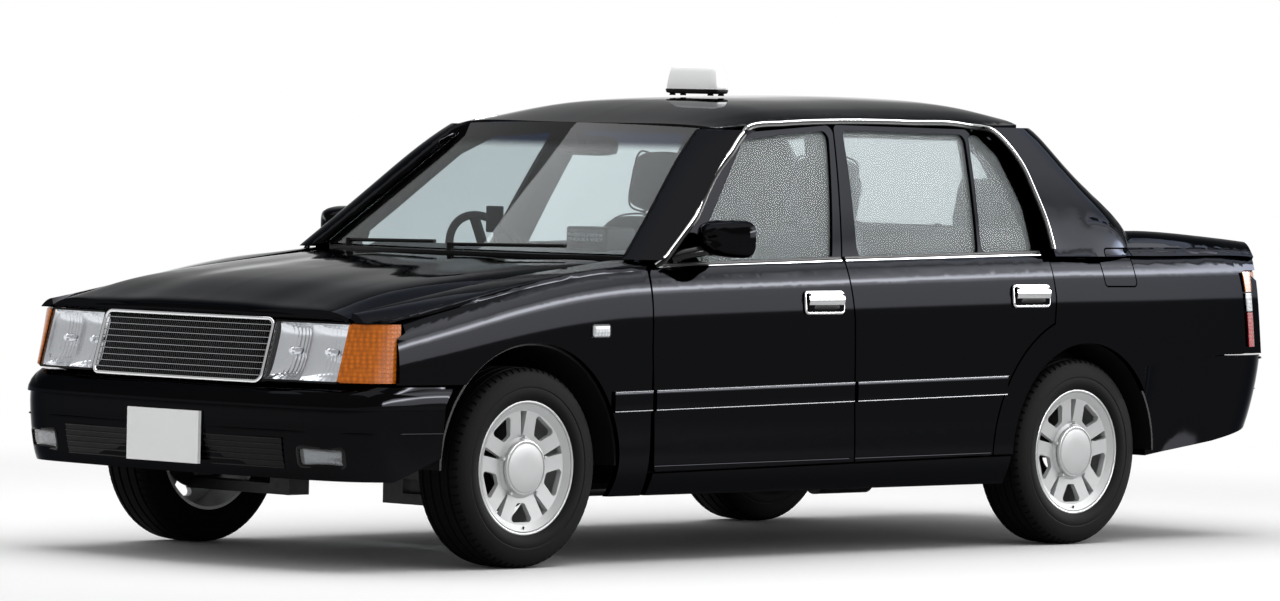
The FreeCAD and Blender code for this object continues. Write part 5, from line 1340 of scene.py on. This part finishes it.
# Corner lamps and tail lamps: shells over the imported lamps, wrapping round the body's corners
def makeCornerLamp():
    rows = []
    for z in spaced(0.592, 0.768, 15):
        row = []
        for t in spaced(0, 1, 25):
            x = 0.692 + (0.787 - 0.692) * t
            row.append(nosePoint(x, z, 0.004 * (1 - t) + 0.0035))
        end = row[-1]
        row += [
            Vector((0.790 + 0.001 * k / 4, end.y + (-2.066 + 0.036 - end.y) * k / 4, z))
            for k in range(1, 5)
        ]
        rows.append(row)
    return sheet(rows, "cornerLens", 0.004)


cornerLens = makeCornerLamp()
onBothSides(cornerLens, "amber", "car_body")


def tailPoint(x, z, out=0.0):
    return Vector((x, float(tailY(x, z)) + out, z))


tailLamp = {
    "inner": 0.576, "outer": 0.788, "wrap": 0.062, "out": 0.007,
    "bands": [(0.668, 0.788, "red"), (0.792, 0.856, "clearLens"), (0.860, 0.929, "amber")],
}


def makeTailLamp(setup):
    for low, high, finish in setup["bands"]:
        rows = []
        for z in spaced(low, high, 9):
            row = [tailPoint(x, z, setup["out"]) for x in spaced(setup["inner"], setup["outer"], 25)]
            end = row[-1]
            for t in spaced(0, 1, 6)[1:]:
                y = end.y - setup["out"] - setup["wrap"] * t
                wrapped = max(float(sideX(y, z)) + 0.0035, setup["outer"])
                x = wrapped * t ** 0.3 + end.x * (1 - t ** 0.3)
                row.append(Vector((x, y, z)))
            rows.append(row)
        lens = sheet(rows, "tailLens" + finish.capitalize(), 0.0035)
        onBothSides(lens, finish, "car_body")
    pairs = roundedLoop(setup["inner"] - 0.004, setup["outer"] - 0.004, 0.664, 0.933, 0.012)
    path = [tailPoint(x, z, 0.003) for x, z in pairs]
    rim = sweep(path, (0, 1, 0), roundBar(0.005, 0.8, 8), "tailLampRim", True)
    onBothSides(rim, "trimBlack", "car_body")


makeTailLamp(tailLamp)

roofSign = {
    "y": 0.115, "width": 0.118, "depth": 0.041,
    "levels": [
        (1.519, 0.93, 0.92), (1.522, 0.99, 0.99), (1.529, 1.0, 1.0), (1.555, 0.965, 0.93),
        (1.581, 0.92, 0.83), (1.5935, 0.885, 0.74), (1.6005, 0.84, 0.62), (1.6060, 0.74, 0.42),
        (1.6080, 0.55, 0.20),
    ],
    "base": [
        (1.508, 0.86, 0.86), (1.511, 1.0, 1.0), (1.518, 1.03, 1.03), (1.5235, 1.03, 1.03),
        (1.5245, 0.9, 0.9),
    ],
    "foot": [(0, 0), (0, 0.011), (0.008, 0.009), (0.012, 0.006), (0.012, 0)],
}


def signRings(setup, levels):
    # Round-cornered rings at (height, share of the width, share of the depth) levels
    width, depth, middle = setup["width"], setup["depth"], setup["y"]
    return [
        [Vector((u * width * wide, middle + v * depth * deep, z)) for u, v in superRing(64, 5)]
        for z, wide, deep in levels
    ]


def makeSign(setup):
    lamp = loft(signRings(setup, setup["levels"]), "signShell")
    plinth = loft(signRings(setup, setup["base"]), "signBase")
    feet = [
        lathe(setup["foot"], (side * 0.088, setup["y"] + back * 0.026, 1.502), "signFoot", "Z", 20)
        for side in (-1, 1) for back in (-1, 1)
    ]
    dress(lamp, "white", "car_body", "roof_sign")
    dress(plinth, "trimBlack", "car_body", "roof_sign")
    dress(joinPieces(feet, "signFeet"), "rubber", "car_body")


makeSign(roofSign)
print("lamps and sign ready")

# Bonnet's rolled front edge, bumper creases, sill lines
def makeNoseEdge():
    for x0, x1, body in (
        (-0.684, 0.684, "bonnet_body"), (0.694, 0.784, "car_body"), (-0.784, -0.694, "car_body"),
    ):
        xs = spaced(x0, x1, max(9, int((x1 - x0) / 0.02)))
        rows = []
        for t in spaced(0, 1, 9):
            turn = math.radians(-70 + 150 * t)
            row = []
            for x in xs:
                top = float(hoodZ(x, -0.952 * half["length"]))
                middle, reach = (top + 0.776) / 2 - 0.001, (top - 0.776) / 2
                y = float(noseY(x, 0.776)) + 0.010 - 0.012 * math.cos(turn)
                row.append(Vector((x, y, middle + reach * math.sin(turn))))
            rows.append(row)
        dress(sheet(rows, "noseEdge", 0.003), "paint", body)


makeNoseEdge()


def makeCreases():
    for y0, y1, count, name, body in (
        (-0.935, -0.010, 15, "sillLineFront", "front_door_body_left"),
        (0.020, 0.700, 13, "sillLineRear", "rear_door_body_left"),
    ):
        levels = [(y, 0.312 + 0.012 * (y + 0.94) / 1.7) for y in spaced(y0, y1, count)]
        run = [facePoint("side", y, z, 0.0015) for y, z in levels]
        onBothSides(sweepFacing(run, roundBar(0.0022, 0.9, 8), name), "paint", body)
    xs = bumperXs(0.820, 61)
    for z, size in ((0.628, 0.0042), (0.520, 0.0026)):
        points = [bumperPoint("bumperRear", x, z, -0.0012) for x in xs]
        ridge = sweepFacing(points, roundBar(size, 0.9, 8), "rearBumperRidge")
        dress(ridge, "paint", "car_body")


makeCreases()


def makeTailDetails():
    # Rims and screws of both number plates, the lid's lock and its bright strip
    for name, y, z, way, body in (
        ("front", -2.2935, 0.397, -1, "car_body"), ("rear", 2.2735, 0.800, 1, "boot_lid_body"),
    ):
        loop = roundedLoop(-0.163, 0.163, z - 0.0805, z + 0.0805, 0.010)
        path = [Vector((x, y + way * 0.0002, level)) for x, level in loop]
        rim = sweep(path, (0, way, 0), roundBar(0.0016, 0.5, 6), name + "PlateRim", True)
        dress(rim, "plateWhite", body)
        head = [(0, 0), (0.0010 * way, 0.003), (0.0004 * way, 0.0062), (-0.001 * way, 0.0066)]
        screws = [
            lathe(head, (x, y + way * 0.0003, z + 0.062), "screw", "Y", 20) for x in (-0.105, 0.105)
        ]
        dress(joinPieces(screws, name + "PlateScrews"), "slat", body)
    profile = [(0.004, 0.0), (0.0035, 0.007), (0.005, 0.0085), (0.004, 0.013), (-0.004, 0.0145)]
    lock = lathe(profile, (0.0, float(tailY(0.0, 0.915)) + 0.001, 0.915), "lidLock", "Y", 32)
    dress(lock, "chrome", "boot_lid_body")
    run = [tailPoint(x, 0.945, 0.004) for x in spaced(-0.535, 0.535, 41)]
    garnish = sweep(run, (0, 1, 0), [(a, b * 2.2) for a, b in roundBar(0.006, 0.8, 10)], "lidGarnish")
    dress(garnish, "chrome", "boot_lid_body")


makeTailDetails()

# Wheels: tyres with tread blocks, rim lips, caps, nuts and brake discs
wheels = {
    "front": (0.727, -1.491), "rear": (0.715, 1.189), "height": 0.317,
    "tyre": [
        (-0.084, 0.2085), (-0.090, 0.214), (-0.0955, 0.232), (-0.0975, 0.2495), (-0.0965, 0.2515),
        (-0.0965, 0.2545), (-0.0978, 0.2565), (-0.0962, 0.274), (-0.0915, 0.292), (-0.0865, 0.3025),
        (-0.0815, 0.3085),
    ],
    "tread": [
        (-0.0740, 0.3140), (-0.0600, 0.3155), (-0.0590, 0.3075), (-0.0520, 0.3075),
        (-0.0510, 0.3160), (-0.0245, 0.3168), (-0.0235, 0.3085), (-0.0165, 0.3085),
        (-0.0155, 0.3168), (0.0, 0.3169),
    ],
    "lip": [
        (0.0, 0.2035), (0.0035, 0.2050), (0.0050, 0.2085), (0.0035, 0.2120), (-0.004, 0.2125),
        (-0.006, 0.2040),
    ],
    "cap": [
        (0.0, 0.0), (0.0005, 0.030), (-0.0005, 0.060), (-0.003, 0.076), (-0.0065, 0.0795),
        (-0.0065, 0.0815), (-0.003, 0.0835), (-0.004, 0.0865), (-0.012, 0.0885),
    ],
    "disc": [
        (-0.012, 0.07), (-0.012, 0.139), (0.0, 0.140), (0.012, 0.139), (0.012, 0.07), (-0.012, 0.07),
    ],
    "nuts": 5, "nutCircle": 0.098,
    "blocks": 70, "cut": 0.0060,
}


def makeTyre(setup, centre, name):
    side = setup["tyre"]
    rings = []
    pitch = 2 * math.pi / setup["blocks"]
    turns = []
    for k in range(setup["blocks"]):
        start = k * pitch
        turns += [(start, 0), (start + pitch * 0.70, 0), (start + pitch * 0.76, 1), (start + pitch * 0.94, 1)]
    work = bmesh.new()
    for turn, low in turns:
        profile = list(side)
        for a, r in setup["tread"]:
            drop = setup["cut"] if low and (a < -0.0605 or -0.050 < a < -0.025) else 0.0
            profile.append((a, r - drop))
        if low:
            profile[len(side) - 1] = (side[-1][0] + 0.001, side[-1][1] - 0.0035)
        profile += [(-a, r) for a, r in profile[-2::-1]]
        c, s = math.cos(turn), math.sin(turn)
        rings.append([
            work.verts.new(Vector((centre[0] + a, centre[1] + r * c, centre[2] + r * s)))
            for a, r in profile
        ])
    size = len(rings[0])
    for one, two in zip(rings, rings[1:] + rings[:1]):
        for k in range(size):
            n = (k + 1) % size
            work.faces.new((one[k], one[n], two[n], two[k]))
    return pieceFrom(work, name, True)


def wheelPieces(setup, x, y, corner):
    z, way, body = setup["height"], math.copysign(1, x), "wheel_" + corner
    face, front = x + math.copysign(0.084, x), x + math.copysign(0.0735, x)
    inner = x - math.copysign(0.018, x)
    dress(makeTyre(setup, (x, y, z), "tyre" + corner), "rubber", body, "tyre_" + corner)
    lip = [(a * way, r) for a, r in setup["lip"] + setup["lip"][:1]]
    dress(lathe(lip, (face, y, z), "rimLip" + corner, "X", 96), "silver", body)
    cap = [((a + 0.0165) * way, r) for a, r in setup["cap"]]
    dress(lathe(cap, (front, y, z), "wheelCap" + corner, "X", 72), "silver", body)
    # Brake disc behind the rim, near black: it also carries painted shade for the inside of the wheel
    dress(lathe(setup["disc"], (inner, y, z), "brakeDisc" + corner, "X", 64), "discIronShaded", body)
    nuts = []
    nut = [(0, 0), (0.0, 0.0055), (-0.006 * way, 0.0065), (-0.012 * way, 0.0065)]
    for k in range(setup["nuts"]):
        turn = math.radians(-90 + 72 * k + 36)
        across, up = setup["nutCircle"] * math.cos(turn), setup["nutCircle"] * math.sin(turn)
        nuts.append(lathe(nut, (front + way * 0.010, y + across, z + up), "nut", "X", 6))
    dress(joinPieces(nuts, "wheelNuts" + corner), "silver", body)
    ends = [(face - way * 0.006, y, z - 0.199), (face - way * 0.002, y, z - 0.185)]
    dress(sweep(ends, (0, 1, 0), roundBar(0.003, 1, 8), "valve" + corner), "rubber", body)


for sideName, way in (("left", 1), ("right", -1)):
    for endName in ("front", "rear"):
        x, y = wheels[endName]
        wheelPieces(wheels, way * x, y, endName + "_" + sideName)
print("wheels ready")


# Cabin: filled cushions, swollen by cloth under pressure
def softForm(size, crown, corner, cuts):
    # Closed form with crowned faces whose sides pull in between the corners
    work = bmesh.new()
    bmesh.ops.create_cube(work, size=2)
    bmesh.ops.subdivide_edges(work, edges=work.edges[:], cuts=cuts, use_grid_fill=True)
    for v in work.verts:
        unit = v.co.copy()
        length = (abs(unit.x) ** corner + abs(unit.y) ** corner + abs(unit.z) ** corner) ** (1 / corner)
        unit /= max(length, 1e-6)
        pull = 1 - 0.02 * (1 - abs(unit.z))
        lift = 1 + crown * (1 - unit.x ** 2) * (1 - unit.y ** 2)
        stretch = (pull, pull, lift)
        v.co = Vector([unit[k] * size[k] / 2 * stretch[k] for k in range(3)])
    return work


def swell(piece, voxel, cap):
    # Cloth under pressure on a remeshed copy, no point moving further than the cap
    still = piece.modifiers.new("evenMesh", "REMESH")
    still.mode, still.voxel_size = "VOXEL", voxel
    bpy.context.view_layer.objects.active = piece
    bpy.ops.object.modifier_apply(modifier=still.name)
    before = [v.co.copy() for v in piece.data.vertices]
    cloth = piece.modifiers.new("filling", "CLOTH")
    cloth.settings.use_pressure = True
    cloth.settings.uniform_pressure_force = 4
    cloth.settings.effector_weights.gravity = 0
    cloth.settings.quality = 4
    for step in range(1, 21):
        scene.frame_set(step)
    bpy.ops.object.modifier_apply(modifier=cloth.name)
    for v, start in zip(piece.data.vertices, before):
        way = v.co - start
        if way.length > cap:
            v.co = start + way.normalized() * cap
    scene.frame_set(1)


def leanBack(pivot, angle):
    # Turn about a line across the car
    turn = Matrix.Rotation(math.radians(angle), 4, "X")
    return Matrix.Translation(pivot) @ turn @ Matrix.Translation(-Vector(pivot))


def cushion(name, centre, size, node, lean=None, crown=0.10, corner=6.0, seams=()):
    # Cushion with piping round it at (axis, share of the half size) places
    piece = pieceFrom(softForm([s * 0.985 for s in size], crown, corner, 14), name, True)
    swell(piece, 0.009 if max(size) > 1 else 0.0075, 0.010)
    shape = Matrix.Translation(centre)
    if lean:
        shape = leanBack(*lean) @ shape
    piece.data.transform(shape)
    piece.data.shade_smooth()
    dress(piece, "seatCloth", "car_body", node)
    cords = []
    for axis, share in seams:
        first, second = [k for k in range(3) if k != axis]
        bulge = 1 + (crown * 0.9 if second == 2 else 0)
        loop = []
        for k in range(72):
            turn = 2 * math.pi * k / 72
            c, s = math.cos(turn), math.sin(turn)
            length = (abs(c) ** corner + abs(s) ** corner) ** (1 / corner)
            point = [0.0, 0.0, 0.0]
            point[first] = c / length * size[first] / 2 * 1.002
            point[second] = s / length * size[second] / 2 * bulge
            point[axis] = share * size[axis] / 2
            loop.append(shape @ Vector(point))
        out = [(p - shape @ Vector((0, 0, 0))).normalized() for p in loop]
        cords.append(sweep(loop, out, roundBar(0.0035, 1, 8), "piping", True))
    dress(joinPieces(cords, name + "Piping"), "trimBlack", "car_body")


seatSides = ((0.372, "Left"), (-0.372, "Right"))
backAngle = -14
restSeams = ((0, 0.72), (0, -0.72))
for x, sideName in seatSides:
    hinge = (x, 0.190, 0.560)
    lean = (hinge, backAngle)
    cushion(
        "seatCushion" + sideName, (x, -0.060, 0.487), (0.505, 0.555, 0.150), "front_seats",
        seams=((2, 0.55),),
    )
    cushion(
        "seatBack" + sideName, (x, 0.190, 0.800), (0.500, 0.125, 0.615), "front_seats",
        lean, 0.0, 5.0, ((1, 0.0),),
    )
    cushion(
        "headRest" + sideName, (x, 0.190, 1.222), (0.268, 0.108, 0.205), "front_seats",
        lean, 0.0, 4.0, restSeams,
    )
    posts = [
        sweep([(x + a, 0.190, 1.100), (x + a, 0.190, 1.150)], (0, 1, 0), roundBar(0.006, 1, 10), "headPost")
        for a in (-0.06, 0.06)
    ]
    post = joinPieces(posts, "headPosts" + sideName)
    post.data.transform(leanBack(hinge, backAngle))
    dress(post, "chrome", "car_body")
    plinth = block((x - 0.19, -0.27, 0.258), (x + 0.19, 0.13, 0.43), "seatPlinth" + sideName, 0.012)
    dress(plinth, "trimBlack", "car_body", "front_seats")

lean = ((0.0, 1.050, 0.570), backAngle)
cushion(
    "benchCushion", (0, 0.835, 0.513), (1.155, 0.545, 0.112), "rear_seat",
    None, 0.10, 7.0, ((2, 0.4),),
)
cushion(
    "benchBack", (0, 1.050, 0.800), (1.155, 0.122, 0.570), "rear_seat",
    lean, 0.0, 7.0, ((1, 0.0), (0, 0.33), (0, -0.33)),
)
for x, sideName in seatSides:
    cushion(
        "benchRest" + sideName, (x, 1.050, 1.160), (0.268, 0.105, 0.190), "rear_seat",
        lean, 0.0, 4.0, restSeams,
    )
print("seats ready")

# Fare meter, pocket device and inner mirror: blocks as (low, high, name, bevel, finish, node)
def dressBlock(low, high, name, bevel, finish, node=None):
    dress(block(low, high, name, bevel), finish, "car_body", node)


dressBlock((0.205, -0.712, 0.978), (0.392, -0.575, 1.062), "meterCase", 0.008, "trimBlack", "fare_meter")
dressBlock((0.215, -0.7155, 1.008), (0.382, -0.7105, 1.053), "meterFace", 0.0015, "screen")
dressBlock((0.215, -0.5765, 1.000), (0.382, -0.5715, 1.053), "meterDisplay", 0.0015, "screen")
keys = [
    block((0.222 + x, -0.5765, 0.984), (0.241 + x, -0.5705, 0.995), "meterKey", 0.0012)
    for x in [0.026 * k for k in range(6)]
]
dress(joinPieces(keys, "meterKeys"), "buttons", "car_body")
ticks = [
    block((0.222 + x, -0.7172, 1.015 + z), (0.236 + x, -0.7150, 1.025 + z), "meterTick", 0.0006)
    for x in [0.020 * k for k in range(8)] for z in (0.0, 0.016)
]
dress(joinPieces(ticks, "meterTicks"), "buttons", "car_body")
dressBlock((0.255, -0.690, 0.950), (0.345, -0.600, 0.982), "meterStand", 0.006, "trimBlack", "fare_meter")

dressBlock((-0.222, -0.658, 1.030), (-0.150, -0.642, 1.118), "pocketDevice", 0.005, "trimBlack")
stalkStops = [(-0.186, -0.650, 0.962), (-0.190, -0.640, 1.000), (-0.187, -0.648, 1.035)]
stalk = sweep(curveThrough(stalkStops, 9), (0, 1, 0), roundBar(0.006, 1, 10), "deviceStalk")
dress(stalk, "trimBlack", "car_body")

mirrorZ = 1.325
rings = [
    [Vector((u * w, y, mirrorZ + v * h)) for u, v in superRing(48, 3.5)]
    for y, w, h in (
        (-0.392, 0.118, 0.027), (-0.388, 0.123, 0.031), (-0.390, 0.125, 0.033),
        (-0.402, 0.125, 0.033), (-0.412, 0.118, 0.029), (-0.418, 0.100, 0.022),
    )
]
dress(loft(rings, "innerMirrorCase"), "trimBlack", "car_body", "inner_mirror")
paneRows = [
    [Vector((u * 0.117, -0.3895, mirrorZ + v * 0.026)) for u in spaced(-1, 1, 9)]
    for v in spaced(-1, 1, 5)
]
dress(sheet(paneRows, "innerMirrorPane", 0.001), "mirrorFace", "car_body")
stemStops = [(0, -0.412, 1.330), (0, -0.440, 1.350), (0, -0.452, 1.372)]
stem = sweep(curveThrough(stemStops, 9), (1, 0, 0), roundBar(0.008, 1, 12), "mirrorStem")
dress(stem, "trimBlack", "car_body", "inner_mirror")
print("cabin details ready")
